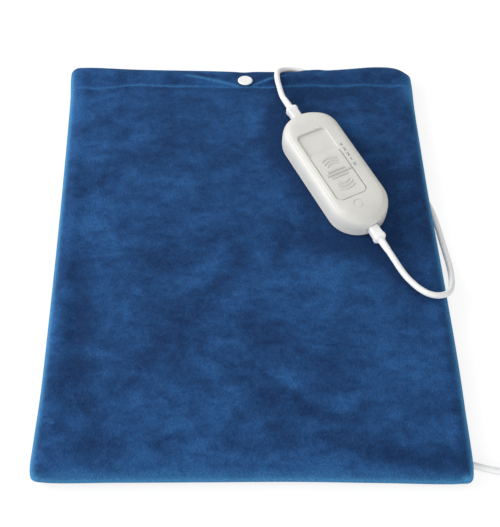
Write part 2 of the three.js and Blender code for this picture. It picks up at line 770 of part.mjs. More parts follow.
/** The upper half of the casing, with the slider's window, tray, slot, lens hole and screw bosses. */
function handsetTopShell() {
  const bottom = partingHeight + seat * half;
  const outer = casingBody(roofHeightShares, roofInsetShares, bottom, handsetHeight);
  const roof = handsetHeight - roofThickness;
  const heights = roofHeightShares.slice(0, roofInnerSections);
  const insets = roofInsetShares.slice(0, roofInnerSections);
  const shell = cut(outer, casingBody(heights, insets, bottom - seat, roof, handsetWall));
  const bossRadius = screwShaftRadius + bossWall;
  const bosses = screwPlaces().map(([x, y]) => bar(bossRadius, bottom, roof + seat, x, y));
  const tray = windowPrism(trayThickness, trayBottom, roof + seat);
  const flangeRadius = lensRadius + lensFlange + seat;
  const lensCollar = bar(flangeRadius + lensSocket, roof - lensFlangeHeight - seat, roof + seat,
    lensAlong, lensAcross, lensSegments);
  const solid = join(shell, tray, lensCollar, ...bosses);
  const slotLength = slideTravel + stemLength + seat * 2;
  const slotMiddle = stemRest - slideTravel * half;
  const slot = block(slotLength, stemWidth + seat * 2, trayBottom - overrun, recessFloor + overrun,
    slotMiddle, windowMidAcross);
  const above = handsetHeight + overrun;
  const lensHole = bar(lensRadius + seat, trayBottom, above, lensAlong, lensAcross, lensSegments);
  const lensSeat = bar(flangeRadius, trayBottom - overrun, roof, lensAlong, lensAcross, lensSegments);
  const pilots = screwPlaces().map(([x, y]) => (
    bar(screwShaftRadius + seat, bottom - overrun, screwTop + seat, x, y)));
  return cut(solid, windowPrism(0, recessFloor, above), slot, lensHole, lensSeat,
    neckOpening(1), neckOpening(-1), ...pilots);
}

/** The lower half of the casing, with ribs under the board, screw tubes and sunk screw seats. */
function handsetBottomShell() {
  const top = partingHeight - seat * half;
  const outer = casingBody(baseHeightShares, baseInsetShares, 0, top);
  const heights = baseHeightShares.slice(1);
  const insets = baseInsetShares.slice(1);
  const shell = cut(outer, casingBody(heights, insets, handsetWall, top + seat, handsetWall));
  const bossRadius = screwHeadRadius + seat + bossWall * half;
  const bosses = screwPlaces().map(([x, y]) => bar(bossRadius, handsetWall * half, top, x, y));
  const ribLength = handsetWidth - handsetWall * 2;
  const ribAlong = boardLength * half - ribEndGap;
  const ribs = [-1, 1].map((side) => (
    block(ribThickness, ribLength, handsetWall * half, boardHeight - seat, side * ribAlong)));
  const heads = screwPlaces().map(([x, y]) => (
    bar(screwHeadRadius + seat, -overrun, screwRecess + screwHeadHeight + seat, x, y)));
  const shafts = screwPlaces().map(([x, y]) => bar(screwShaftRadius + seat, 0, top + overrun, x, y));
  return cut(join(shell, ...bosses, ...ribs), neckOpening(1), neckOpening(-1), ...heads, ...shafts);
}

/** Side profile of the slider knob, with its thumb ramp, extruded across and rounded in plan. */
function knobBody() {
  const bottom = recessFloor + seat;
  const top = handsetHeight - knobSink;
  const front = knobLength * half;
  const profile = new THREE.Shape();
  profile.moveTo(-front, bottom);
  profile.lineTo(front, bottom);
  profile.lineTo(front, top - knobSink);
  profile.lineTo(front - knobSink, top);
  profile.lineTo(knobRampLength - front, top);
  profile.quadraticCurveTo(knobRampLength * half - front, top - knobSink, -front, bottom + knobToeHeight);
  const options = { depth: knobWidth, bevelEnabled: false, curveSegments: knobRampSteps };
  const extruded = new THREE.ExtrudeGeometry(profile, options);
  extruded.rotateX(fullTurn / 4);
  extruded.translate(0, knobWidth * half, 0);
  const outline = roundedRectangle(knobLength, knobWidth, windowCorner - knobClearance);
  const plan = prism(outline, 0, handsetHeight);
  return toGeometry(toSolid(extruded).intersect(toSolid(plan)));
}

/** A raised grip ridge bent to an arc about the middle of the grip pattern. */
function arcRidge(radius, facing, bottom, top) {
  const shape = new THREE.Shape();
  const middle = facing > 0 ? 0 : fullTurn / 2;
  shape.absarc(0, 0, radius + ridgeWidth * half, middle - arcHalfAngle, middle + arcHalfAngle);
  shape.absarc(0, 0, radius - ridgeWidth * half, middle + arcHalfAngle, middle - arcHalfAngle, true);
  return prism(shape, bottom, top, arcSteps);
}

/** The slider knob: body, arced and straight grip ridges, pointer ridge, stem and barbs. */
function sliderKnob() {
  const top = handsetHeight - knobSink;
  const sunk = top - ridgeHeight;
  const ridgeTop = top + ridgeHeight;
  const pieces = [knobBody()];
  for (const side of [-1, 0, 1]) {
    const length = side === 0 ? pointerLength : shortRidgeLength;
    const across = side === 0 ? (knobWidth - pointerLength) * half - seat : 0;
    pieces.push(block(ridgeWidth, length, sunk, ridgeTop, side * ridgePitch, across));
  }
  for (const facing of [-1, 1]) {
    for (const radius of arcRadii) {
      const ridge = arcRidge(radius, facing, sunk, ridgeTop);
      ridge.translate(facing * ridgeOffset, 0, 0);
      pieces.push(ridge);
    }
  }
  const stemOffset = stemRest - knobRest;
  const barbTop = carriageBottom - seat;
  pieces.push(block(stemLength, stemWidth, barbTop - barbHeight, recessFloor + seat * 2, stemOffset));
  pieces.push(block(stemLength + barbLip * 2, stemWidth * half, barbTop - barbHeight, barbTop, stemOffset));
  const knob = join(...pieces);
  knob.translate(knobRest, windowMidAcross, 0);
  return knob;
}

/** The carriage under the tray, snapped on to the knob's stem. */
function sliderCarriage() {
  const slab = block(carriageLength, carriageWidth, carriageBottom, carriageTop);
  const edge = carriageWidth * half;
  const nub = new THREE.Shape();
  nub.moveTo(-detentNub, edge - detentNub);
  nub.lineTo(detentNub, edge - detentNub);
  nub.lineTo(detentNub, edge);
  nub.lineTo(0, edge + detentNub);
  nub.lineTo(-detentNub, edge);
  const slot = block(stemLength + seat * 2, stemWidth + seat * 2,
    carriageBottom - overrun, carriageTop + overrun);
  const geometry = cut(join(slab, prism(nub, carriageBottom, carriageTop)), slot);
  geometry.translate(stemRest, windowMidAcross, 0);
  return geometry;
}

/** A bent contact spring between the carriage and the board: two feet and a flat back. */
function contactSpring(side) {
  const top = carriageBottom - seat;
  const foot = boardTop + seat;
  const reach = carriageLength * half;
  const back = carriageLength / 4;
  const shape = new THREE.Shape();
  shape.moveTo(-reach, foot + springThickness);
  shape.lineTo(-reach + springThickness * 2, foot);
  shape.lineTo(-reach + springThickness * 5, foot);
  shape.lineTo(-back, top - springThickness);
  shape.lineTo(back, top - springThickness);
  shape.lineTo(reach - springThickness * 5, foot);
  shape.lineTo(reach - springThickness * 2, foot);
  shape.lineTo(reach, foot + springThickness);
  shape.lineTo(reach - springThickness * 4, foot + springThickness);
  shape.lineTo(back + springThickness, top);
  shape.lineTo(-back - springThickness, top);
  shape.lineTo(-reach + springThickness * 4, foot + springThickness);
  const geometry = new THREE.ExtrudeGeometry(shape, { depth: springWidth, bevelEnabled: false });
  geometry.rotateX(fullTurn / 4);
  geometry.translate(stemRest, windowMidAcross + side * springSpread + springWidth * half, 0);
  return geometry;
}

/** The wavy detent strip that the carriage's nub runs along, with one notch for each setting. */
function detentSpring() {
  const step = slideTravel / (settings - 1);
  const edge = -step * settings * half;
  const shape = new THREE.Shape();
  shape.moveTo(edge, 0);
  shape.lineTo(edge, -detentThickness * 2);
  shape.lineTo(-edge, -detentThickness * 2);
  shape.lineTo(-edge, 0);
  for (let i = settings; i > 0; i -= 1) {
    shape.lineTo(edge + step * (i - half), -detentThickness);
    if (i > 1) shape.lineTo(edge + step * (i - 1), 0);
  }
  const top = trayBottom - seat;
  const geometry = prism(shape, top - detentHeight, top);
  geometry.rotateZ(fullTurn / 2);
  const across = windowMidAcross + carriageWidth * half + detentNub + seat;
  geometry.translate(stemRest - slideTravel * half, across, 0);
  return geometry;
}

/** Adds the board and the parts that stand on it. */
function addBoard(group) {
  const sheet = prism(roundedRectangle(boardLength, boardWidth, boardCorner), boardHeight, boardTop);
  const tongueEnd = lensAlong + ledRadius + tongueMargin;
  const tongue = block(tongueEnd, tongueWidth, boardHeight, boardTop, tongueEnd * half);
  addPiece(group, 'circuit_board', join(sheet, tongue), boardGreen);
  const foot = boardTop + seat;
  const carriageEdge = carriageWidth * half;
  const fuse = new THREE.CylinderGeometry(fuseRadius, fuseRadius, fuseLength, 12);
  fuse.rotateZ(fullTurn / 4);
  fuse.translate(0, windowMidAcross - carriageEdge - componentGap - fuseRadius, foot + fuseRadius);
  addPiece(group, 'glass_fuse', fuse, clearGlass);
  const outline = roundedRectangle(capacitorLength, capacitorWidth, capacitorCorner);
  const capacitor = prism(outline, foot, foot + capacitorHeight, 3);
  const beside = windowMidAcross + carriageEdge + detentNub + detentThickness * 2 + componentGap;
  capacitor.translate(capacitorAlong, beside + capacitorWidth * half, 0);
  addPiece(group, 'film_capacitor', capacitor, amberPlastic);
  const triac = block(triacLength, triacWidth, foot, foot + triacHeight,
    triacAlong, beside + triacWidth * half);
  addPiece(group, 'power_triac', triac, blackPlastic);
  const led = turned([[0, foot], [ledRadius, foot], [ledRadius, foot + ledHeight - ledRadius],
    [ledRadius * Math.SQRT1_2, foot + ledHeight - ledRadius * (1 - Math.SQRT1_2)], [0, foot + ledHeight]],
  lensAlong, lensAcross, 12);
  addPiece(group, 'indicator_led', led, redPlastic);
  const roof = handsetHeight - roofThickness;
  const face = handsetHeight - lensSink;
  const lens = turned([[0, foot + ledHeight + seat], [lensRadius + lensFlange, foot + ledHeight + seat],
    [lensRadius + lensFlange, roof - seat], [lensRadius, roof - seat], [lensRadius, face - seat],
    [lensRadius - seat, face], [0, face]], lensAlong, lensAcross, lensSegments);
  addPiece(group, 'indicator_lens', lens, lensPlastic);
}

/** A terminal block near one end of the board, with two wire holes facing its lead. */
function terminalBlock(end) {
  const foot = boardTop + seat;
  const body = block(terminalLength, terminalWidth, foot, foot + terminalHeight, 0, 0);
  const holes = [-1, 1].map((side) => (
    block(terminalLength, coreRadius * 4, foot + terminalHeight / 4, foot + terminalHeight * 3 / 4,
      end * terminalLength * half, side * terminalWidth / 4)));
  const geometry = cut(body, ...holes);
  geometry.translate(end * terminalMiddle, terminalAcross, 0);
  return geometry;
}

/** A level ring of points round a rectangle with rounded corners. */
function roundedRing(width, height, corner, level) {
  const x = width * half;
  const y = height * half;
  const r = Math.min(corner, x * roundestShare, y * roundestShare);
  const points = [];
  [[1, 1], [-1, 1], [-1, -1], [1, -1]].forEach(([signX, signY], quarter) => {
    for (let step = 0; step <= cornerSteps; step += 1) {
      const angle = fullTurn * (quarter + step / cornerSteps) / 4;
      points.push(new THREE.Vector3(signX * (x - r) + r * Math.cos(angle),
        signY * (y - r) + r * Math.sin(angle), level));
    }
  });
  return points;
}

/** One ring of a strain relief, standing square to the lead. */
function reliefRing(width, height, along) {
  return roundedRing(width, height, reliefCorner, along);
}

/** Where a strain relief's flange faces the casing's curved end wall, from the casing's end. */
function flangeFace() {
  const inner = handsetWidth * half - handsetWall;
  const sag = inner - Math.sqrt(inner ** 2 - (reliefFlangeWidth * half) ** 2);
  return -handsetWall - sag - seat * 2;
}

/** The moulded strain relief: inner flange, neck in the wall, block with a shoulder, and tapered tail. */
function strainRelief() {
  const rings = [
    reliefRing(reliefFlangeWidth, reliefFlangeHeight, flangeFace() - reliefFlangeLength),
    reliefRing(reliefFlangeWidth, reliefFlangeHeight, flangeFace()),
    reliefRing(reliefNeckWidth, reliefNeckHeight, flangeFace()),
    reliefRing(reliefNeckWidth, reliefNeckHeight, seat * 2),
    reliefRing(reliefWidth, reliefHeight, seat * 2),
    reliefRing(reliefShoulderWidth, reliefShoulderHeight, reliefBlockLength - reliefChamferLength),
    reliefRing(reliefShoulderWidth, reliefShoulderHeight, reliefBlockLength),
    reliefRing(reliefTailWidth, reliefTailWidth, reliefBlockLength + reliefChamferLength),
    reliefRing(cordDiameter + seat * 4, cordDiameter + seat * 4, reliefBlockLength + reliefChamferLength),
    reliefRing(cordDiameter, cordDiameter, reliefBlockLength + reliefChamferLength + reliefTailLength),
  ];
  const geometry = skin(rings);
  geometry.rotateZ(fullTurn / 4);
  geometry.rotateY(fullTurn / 4);
  geometry.translate(handsetLength * half, 0, partingHeight);
  return geometry;
}

/** A casing screw with its slotted head. */
function casingScrew(along, across) {
  const head = screwRecess + screwHeadHeight;
  const shaftEnd = screwTop - screwShaftRadius;
  const body = turned([[0, screwRecess], [screwHeadRadius, screwRecess], [screwHeadRadius, head],
    [screwShaftRadius, head], [screwShaftRadius, shaftEnd], [0, screwTop]], along, across, 12);
  const slotTop = screwRecess + slotDepth;
  const slot = block(screwHeadRadius * 3, slotWidth, screwRecess - overrun, slotTop, along, across);
  return cut(body, slot);
}

/** A lead core inside the casing, from the strain relief's flange to its terminal. */
function leadCore(end, side) {
  const start = handsetLength * half + flangeFace() - reliefFlangeLength - seat;
  const terminal = terminalMiddle + terminalLength / 4;
  const stagger = side * terminalWidth / 4;
  const height = boardTop + seat + terminalHeight * half;
  const bend = terminal + (start - terminal) * coreBendShare;
  const points = [
    [end * start, side * coreRadius * 2, partingHeight],
    [end * (start - coreRadius), side * coreRadius * 2, partingHeight],
    [end * bend, (terminalAcross + stagger) * coreBendShare, height],
    [end * (terminal + coreRadius), terminalAcross + stagger, height],
    [end * terminal, terminalAcross + stagger, height],
  ];
  return tube(routeCurve(points), coreRadius, wireSides, 8);
}

/** Adds the handset with all that is inside it and both strain reliefs. */
function addHandset(group) {
  addPiece(group, 'handset_top_shell', handsetTopShell(), casing);
  addPiece(group, 'handset_bottom_shell', handsetBottomShell(), casing);
  addPiece(group, 'slider_knob', sliderKnob(), casing);
  addPiece(group, 'slider_carriage', sliderCarriage(), blackPlastic);
  addPiece(group, 'contact_spring_1', contactSpring(-1), brass);
  addPiece(group, 'contact_spring_2', contactSpring(1), brass);
  addPiece(group, 'detent_spring', detentSpring(), steel);
  addBoard(group);
  addPiece(group, 'mains_terminal_block', terminalBlock(1), terminalGreen);
  addPiece(group, 'pad_terminal_block', terminalBlock(-1), terminalGreen);
  screwPlaces().forEach(([x, y], i) => addPiece(group, `casing_screw_${i + 1}`, casingScrew(x, y), steel));
  addPiece(group, 'mains_lead_relief', strainRelief(), whitePlastic);
  const upper = strainRelief();
  upper.rotateZ(fullTurn / 2);
  addPiece(group, 'pad_lead_relief', upper, whitePlastic);
  addPiece(group, 'mains_core_1', leadCore(1, -1), blackPlastic);
  addPiece(group, 'mains_core_2', leadCore(1, 1), blackPlastic);
  addPiece(group, 'pad_core_1', leadCore(-1, -1), blackPlastic);
  addPiece(group, 'pad_core_2', leadCore(-1, 1), blackPlastic);
}

/** The coil's middle line: in on the lower layer, up in the half turn where it reverses, out on the upper. */
function coilPath() {
  const points = [];
  const total = coilTurnsIn + coilTurnsOut;
  const steps = Math.round(total * coilStepsPerTurn);
  const lower = tieThickness + seat + cordRadius;
  const innerRadius = coilOuterRadius - coilPitch * coilTurnsIn;
  const place = (turn) => {
    const climbing = Math.min(Math.max((turn - coilTurnsIn) / coilTurnsClimbing + half, 0), 1);
    const radius = innerRadius + coilPitch * Math.abs(turn - coilTurnsIn);
    const angle = fullTurn * turn - fullTurn / 4;
    return new THREE.Vector3(coilAcross + radius * Math.cos(angle), coilAlong + radius * Math.sin(angle),
      lower + coilLayerRise * climbing);
  };
  for (let i = 0; i <= steps; i += 1) points.push(place(total * i / steps));
  points.unshift(points[0].clone().add(new THREE.Vector3(-cordDiameter, 0, 0)));
  points.push(points.at(-1).clone().add(new THREE.Vector3(0, cordDiameter, 0)));
  return new SteppedPath(points);
}

/** The least gap between turns of a tube along a path, measured on the path's points. */
function leastGap(points, diameter, apart) {
  let least = Infinity;
  for (let i = 0; i < points.length; i += 1) {
    for (let j = i + apart; j < points.length; j += 1) {
      least = Math.min(least, points[i].distanceTo(points[j]) - diameter);
    }
  }
  return least;
}

/** The cable tie round all strands of the coil, with its head on top. */
function coilTie() {
  const turns = (tieAngle + fullTurn / 4) / fullTurn;
  const innermost = Math.abs(Math.round(coilTurnsIn - turns) + turns - coilTurnsIn);
  const inner = coilOuterRadius + coilPitch * (innermost - coilTurnsIn) - cordRadius - seat * 2;
  const outer = coilOuterRadius - coilPitch * turns + cordRadius + seat * 2;
  const height = coilLayerRise + cordDiameter + seat * 2;
  const width = outer - inner;
  const around = tieThickness * 2;
  const outside = roundedRectangle(width + around, height + around, tieCorner + tieThickness);
  outside.holes.push(roundedRectangle(width, height, tieCorner));
  const band = prism(outside, -tieWidth * half, tieWidth * half, 3);
  const middle = height * half + tieThickness;
  const head = block(tieHeadLength, tieHeadHeight, -tieWidth * half - seat, tieWidth * half + seat, 0,
    middle + tieHeadHeight * half - tieThickness * half);
  const tie = join(band, head);
  tie.rotateX(fullTurn / 4);
  tie.translate((inner + outer) * half, 0, middle);
  tie.rotateZ(tieAngle);
  tie.translate(coilAcross, coilAlong, 0);
  return tie;
}

/** Section of a groove with a round top, open to the table; its X axis points down along a level path. */
function grooveSection(radius) {
  const corners = [new THREE.Vector2(radius * 2, radius)];
  for (let i = 0; i <= tunnelSides; i += 1) {
    const angle = fullTurn / 4 + fullTurn * half * i / tunnelSides;
    corners.push(new THREE.Vector2(radius * Math.cos(angle), radius * Math.sin(angle)));
  }
  corners.push(new THREE.Vector2(radius * 2, -radius));
  return new THREE.Shape(corners);
}

/** Cuts that the leads make where they press into the cover. */
function leadCuts() {
  const pressed = cordRadius + cordPressing;
  const overHem = tube(routeCurve(padLeadRoute), pressed, cordSides, padLeadSteps);
  const overEdge = tube(routeCurve(mainsLeadRoute), pressed, cordSides, mainsLeadSteps);
  const floorRoute = mainsLeadRoute.slice(tunnelFirst, tunnelLast).map(([x, y]) => [x, y, cordRadius]);
  const tunnel = new THREE.ExtrudeGeometry(grooveSection(cordRadius + tunnelClearance), {
    extrudePath: routeCurve(floorRoute), steps: tunnelSteps, bevelEnabled: false });
  return { overHem, overEdge, tunnel };
}

/** A stretch of lead along its route. */
function cord(route, steps) {
  return tube(routeCurve(route), cordRadius, cordSides, steps);
}

/** Adds the leads, the coil of spare lead and its tie. */
function addLeads(group) {
  addPiece(group, 'pad_lead', cord(padLeadRoute, padLeadSteps), whiteCord);
  addPiece(group, 'mains_lead', cord(mainsLeadRoute, mainsLeadSteps), whiteCord);
  const path = coilPath();
  const gap = leastGap(path.points, cordDiameter, coilStepsPerTurn / 2);
  console.log(`least gap between the coil's turns: ${gap.toFixed(2)} mm`);
  addPiece(group, 'mains_coil', tube(path, cordRadius, coilSides, path.points.length - 1), whiteCord);
  addPiece(group, 'coil_tie', coilTie(), whitePlastic);
  addPiece(group, 'plug_lead', cord(plugLeadRoute, plugLeadSteps), whiteCord);
}

/** The plug's body: a slim rear that swells to the flat front face, hollowed where the pins seat. */
function plugBody() {
  const rings = plugSwellShares.map(([along, width, thickness]) => (
    roundedRing(plugWidth * width, plugThickness * thickness, plugCorner, plugLength * along)));
  rings.push(roundedRing(plugWidth, plugThickness, plugCorner, plugLength - plugNose));
  rings.push(roundedRing(plugWidth, plugThickness, plugCorner, plugLength));
  const sockets = [-1, 1].map((side) => {
    const hole = new THREE.CylinderGeometry(pinRadius + seat, pinRadius + seat, pinSocketDepth * 2, 16);
    hole.rotateX(fullTurn / 4);
    hole.translate(side * pinPitch * half, 0, plugLength);
    return hole;
  });
  return cut(skin(rings), ...sockets);
}

/** The ribbed strain relief behind the plug. */
function plugRelief() {
  const rib = plugReliefLength / (plugReliefRibs * 2 + 1);
  const profile = [[0, -plugReliefLength]];
  const slope = (plugReliefRadius - cordRadius - seat) / plugReliefLength;
  const taper = (along) => plugReliefRadius + slope * along;
  for (let i = 0; i < plugReliefRibs * 2 + 1; i += 1) {
    const from = -plugReliefLength + rib * i;
    const groove = i % 2 === 0 ? 0 : plugReliefGroove;
    profile.push([taper(from) - groove, from], [taper(from + rib) - groove, from + rib]);
  }
  profile.push([0, 0]);
  return turned(profile.map(([radius, along]) => [radius, along - seat]), 0, 0, 16);
}

/** Adds the plug with its pins, sleeves and strain relief, lying flat on the table. */
function addPlug(group) {
  const body = new THREE.Group();
  body.position.set(plugAcross, plugRear, plugThickness * half);
  body.rotation.x = -fullTurn / 4;
  group.add(body);
  addPiece(body, 'plug_body', plugBody(), whitePlastic);
  addPiece(body, 'plug_relief', plugRelief(), whitePlastic);
  const root = plugLength - pinSocketDepth + seat;
  const sleeveEnd = plugLength + pinSleeveLength;
  const tip = plugLength + pinLength;
  [-1, 1].forEach((side, i) => {
    const across = side * pinPitch * half;
    const pin = turned([[0, root], [pinNeckRadius, root], [pinNeckRadius, sleeveEnd + seat],
      [pinRadius, sleeveEnd + seat], [pinRadius, tip - pinRadius * half], [pinRadius * half, tip], [0, tip]],
    across, 0, 14);
    addPiece(body, `plug_pin_${i + 1}`, pin, nickelPlate);
    const bore = pinNeckRadius + seat;
    const sleeve = turned([[bore, root], [pinRadius, root], [pinRadius, sleeveEnd], [bore, sleeveEnd],
      [bore, root]], across, 0, 14);
    addPiece(body, `pin_sleeve_${i + 1}`, sleeve, blackPlastic);
  });
}

const heatingPad = new THREE.Group();
const cuts = leadCuts();
addCover(heatingPad, [cuts.overHem, cuts.overEdge], [cuts.overHem, cuts.overEdge, cuts.tunnel]);
addHeater(heatingPad);

const handset = new THREE.Group();
handset.position.set(handsetAcross, handsetAlong, coverHeight + seat);
handset.rotation.z = handsetTurn;
heatingPad.add(handset);
addHandset(handset);

addLeads(heatingPad);
addPlug(heatingPad);

export default heatingPad;
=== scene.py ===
"""Looks of the heating pad with controller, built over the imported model's frame."""
import logging
import math
from dataclasses import dataclass, field
from enum import Enum
from functools import lru_cache
from typing import Callable, Dict, List, Optional, Sequence, Tuple

import bmesh
import bpy
import numpy as np
from mathutils import Matrix, Vector


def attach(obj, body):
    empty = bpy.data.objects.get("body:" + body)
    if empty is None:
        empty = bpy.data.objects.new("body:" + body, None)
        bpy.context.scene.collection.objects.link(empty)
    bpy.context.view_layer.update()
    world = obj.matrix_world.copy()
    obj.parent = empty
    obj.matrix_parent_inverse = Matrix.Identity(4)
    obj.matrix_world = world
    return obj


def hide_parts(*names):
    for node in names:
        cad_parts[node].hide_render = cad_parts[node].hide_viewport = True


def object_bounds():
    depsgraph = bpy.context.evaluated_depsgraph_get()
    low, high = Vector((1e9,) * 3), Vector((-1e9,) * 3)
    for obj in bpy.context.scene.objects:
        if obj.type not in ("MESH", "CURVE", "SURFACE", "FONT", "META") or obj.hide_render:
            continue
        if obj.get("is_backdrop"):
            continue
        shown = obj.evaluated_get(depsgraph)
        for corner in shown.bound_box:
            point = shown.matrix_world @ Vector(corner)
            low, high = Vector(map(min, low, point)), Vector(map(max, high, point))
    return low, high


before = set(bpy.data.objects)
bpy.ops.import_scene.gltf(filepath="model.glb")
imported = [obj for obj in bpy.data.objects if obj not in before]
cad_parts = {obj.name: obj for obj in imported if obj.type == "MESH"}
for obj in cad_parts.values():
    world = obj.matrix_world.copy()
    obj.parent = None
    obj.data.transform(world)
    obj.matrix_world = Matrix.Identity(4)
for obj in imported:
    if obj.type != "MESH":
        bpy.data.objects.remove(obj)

log = logging.getLogger("heating_pad")
MM = 0.001
# Distances beyond this many millimetres are all taken as this much
REACH = 40.0
Point = Tuple[float, float, float]
Colour = Tuple[int, int, int]


class Body(str, Enum):
    """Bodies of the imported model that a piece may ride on."""

    CARRIER = "pad_and_handset"
    SLIDER = "slider"


class Side(Enum):
    """The handset's two ends, by the sign of their place along it."""

    MAINS = 1
    PAD = -1


# Shared helpers

def linear(colour: Colour, alpha: float = 1.0) -> Tuple[float, float, float, float]:
    """Turns a written colour into the renderer's linear one.

    Args:
        colour: red, green and blue from 0 to 255.
        alpha: opacity that goes with it.

    Returns:
        The colour as four linear numbers.
    """
    parts = [c / 255 for c in colour]
    return tuple(c / 12.92 if c <= 0.04045 else ((c + 0.055) / 1.055) ** 2.4 for c in parts) + (alpha,)


def smooth(low: float, high: float, value: np.ndarray) -> np.ndarray:
    """Smooth step of an array between two bounds."""
    share = np.clip((value - low) / (high - low), 0, 1)
    return share * share * (3 - 2 * share)


def route(points: Sequence[Point], spacing: float) -> np.ndarray:
    """Samples a centripetal curve through the points of a cord's route.

    Args:
        points: the route's points in millimetres.
        spacing: distance between samples in millimetres.

    Returns:
        The samples, evenly spaced, as an array of rows.
    """
    knots = np.array(points, float)
    knots = np.vstack([2 * knots[0] - knots[1], knots, 2 * knots[-1] - knots[-2]])
    rows = []
    for i in range(1, len(knots) - 2):
        p = knots[i - 1:i + 3]
        t = np.concatenate([[0], np.cumsum(np.linalg.norm(np.diff(p, axis=0), axis=1) ** 0.5)])
        at = np.linspace(t[1], t[2], 24, endpoint=False)[:, None]
        a = [(t[k + 1] - at) / (t[k + 1] - t[k]) * p[k] + (at - t[k]) / (t[k + 1] - t[k]) * p[k + 1]
             for k in range(3)]
        b = [(t[k + 2] - at) / (t[k + 2] - t[k]) * a[k] + (at - t[k]) / (t[k + 2] - t[k]) * a[k + 1]
             for k in range(2)]
        rows.append((t[2] - at) / (t[2] - t[1]) * b[0] + (at - t[1]) / (t[2] - t[1]) * b[1])
    line = np.vstack(rows + [knots[-2][None]])
    return evenly(line, spacing)


def walked(line: np.ndarray) -> np.ndarray:
    """Length of a polyline up to each of its points."""
    return np.concatenate([[0], np.cumsum(np.linalg.norm(np.diff(line, axis=0), axis=1))])


def evenly(line: np.ndarray, spacing: float) -> np.ndarray:
    """Spaces the points of a polyline evenly.

    Args:
        line: the polyline's points as rows.
        spacing: distance between the new points.

    Returns:
        The new points, first and last kept.
    """
    along = walked(line)
    at = np.linspace(0, along[-1], max(2, int(round(along[-1] / spacing)) + 1))
    return np.stack([np.interp(at, along, line[:, k]) for k in range(line.shape[1])], axis=1)


def nearest(points: np.ndarray, line: np.ndarray) -> Tuple[np.ndarray, np.ndarray]:
    """Finds how far flat points lie from a polyline.

    Args:
        points: rows of x and y.
        line: rows of x, y and height.

    Returns:
        Each point's distance from the line, and the line's height at the nearest place.
    """
    start, step = line[:-1], np.diff(line, axis=0)
    square = np.maximum((step[:, :2] ** 2).sum(1), 1e-9)
    far = np.full(len(points), np.inf)
    height = np.zeros(len(points))
    for a, d, sq in zip(start, step, square):
        near = np.abs(points - a[:2]).max(1) < REACH
        if not near.any():
            continue
        off = points[near] - a[:2]
        share = np.clip((off @ d[:2]) / sq, 0, 1)
        dist = np.linalg.norm(off - share[:, None] * d[:2], axis=1)
        better = dist < far[near]
        where = np.flatnonzero(near)[better]
        far[where] = dist[better]
        height[where] = a[2] + share[better] * d[2]
    return far, height


def flat_route(points: Sequence[Sequence[float]], spacing: float = 2.0) -> np.ndarray:
    """Samples a curve through flat points, as rows of x, y and a height of nought."""
    return route([(x, y, 0) for x, y in points], spacing)


def from_stroke(flat: np.ndarray, points: Sequence[Sequence[float]]) -> Tuple[np.ndarray, np.ndarray]:
    """Finds how far flat places lie from a stroke.

    Args:
        flat: places as rows of x and y.
        points: the stroke's points.

    Returns:
        Each place's distance from the stroke, and from the nearer of its ends.
    """
    line = flat_route(points)
    first, last = (np.linalg.norm(flat - end[:2], axis=1) for end in (line[0], line[-1]))
    return nearest(flat, line)[0], np.minimum(first, last)


def make_object(name: str, vertices: np.ndarray, faces: Sequence[Sequence[int]],
                round_angle: float = 40.0) -> bpy.types.Object:
    """Makes a mesh object from millimetres.

    Args:
        name: the object's name.
        vertices: rows of x, y and z in millimetres.
        faces: corner numbers of each face.
        round_angle: edges flatter than this many degrees are shaded smooth.

    Returns:
        The new object, linked to the scene.
    """
    mesh = bpy.data.meshes.new(name)
    mesh.from_pydata((np.asarray(vertices, float) * MM).tolist(), [], [list(map(int, f)) for f in faces])
    shape = bmesh.new()
    shape.from_mesh(mesh)
    bmesh.ops.recalc_face_normals(shape, faces=shape.faces)
    shape.to_mesh(mesh)
    shape.free()
    piece = bpy.data.objects.new(name, mesh)
    bpy.context.scene.collection.objects.link(piece)
    shade(piece, round_angle)
    return piece


def shade(piece: bpy.types.Object, round_angle: float) -> None:
    """Shades a mesh smooth and keeps the edges sharper than an angle.

    Args:
        piece: the mesh object.
        round_angle: the angle in degrees.
    """
    shape = bmesh.new()
    shape.from_mesh(piece.data)
    limit = math.radians(round_angle)
    for face in shape.faces:
        face.smooth = True
    for edge in shape.edges:
        edge.smooth = len(edge.link_faces) == 2 and edge.calc_face_angle(0.0) < limit
    shape.to_mesh(piece.data)
    shape.free()


def paint_layer(piece: bpy.types.Object, name: str, values: np.ndarray) -> None:
    """Paints a value on a piece's first vertices, and nothing on the others.

    Args:
        piece: the mesh object.
        name: the layer's name, which a material reads.
        values: one value for each vertex, in order.
    """
    layer = piece.data.attributes.new(name, "FLOAT", "POINT")
    whole = np.zeros(len(piece.data.vertices))
    whole[:len(values)] = values
    layer.data.foreach_set("value", whole)


def settle(piece: bpy.types.Object, finish: "Finish", body: Body, *nodes: str) -> bpy.types.Object:
    """Gives a piece its finish, its body and the nodes that it stands for.

    Args:
        piece: the new piece.
        finish: what it is made of.
        body: the body that it rides on.
        nodes: the CAD nodes that it replaces.

    Returns:
        The same piece.
    """
    piece.data.materials.clear()
    piece.data.materials.append(finish.material())
    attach(piece, body.value)
    if nodes:
        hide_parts(*nodes)
    log.info("piece %s rides on %s", piece.name, body.value)
    return piece


def loft(rings: Sequence[np.ndarray]) -> Tuple[np.ndarray, List[List[int]]]:
    """Skins rings of equal point counts into a form that fans close at both ends.

    Args:
        rings: each ring's points as rows, in order.

    Returns:
        The vertices and faces.
    """
    count = len(rings[0])
    vertices = np.vstack([*rings, rings[0].mean(0), rings[-1].mean(0)])
    faces = []
    for first in range(0, (len(rings) - 1) * count, count):
        for i in range(first, first + count):
            j = first + (i + 1 - first) % count
            faces.append([i, j, j + count, i + count])
    for first, hub in ((0, len(vertices) - 2), ((len(rings) - 1) * count, len(vertices) - 1)):
        faces += [[first + i, first + (i + 1) % count, hub] for i in range(count)]
    return vertices, faces


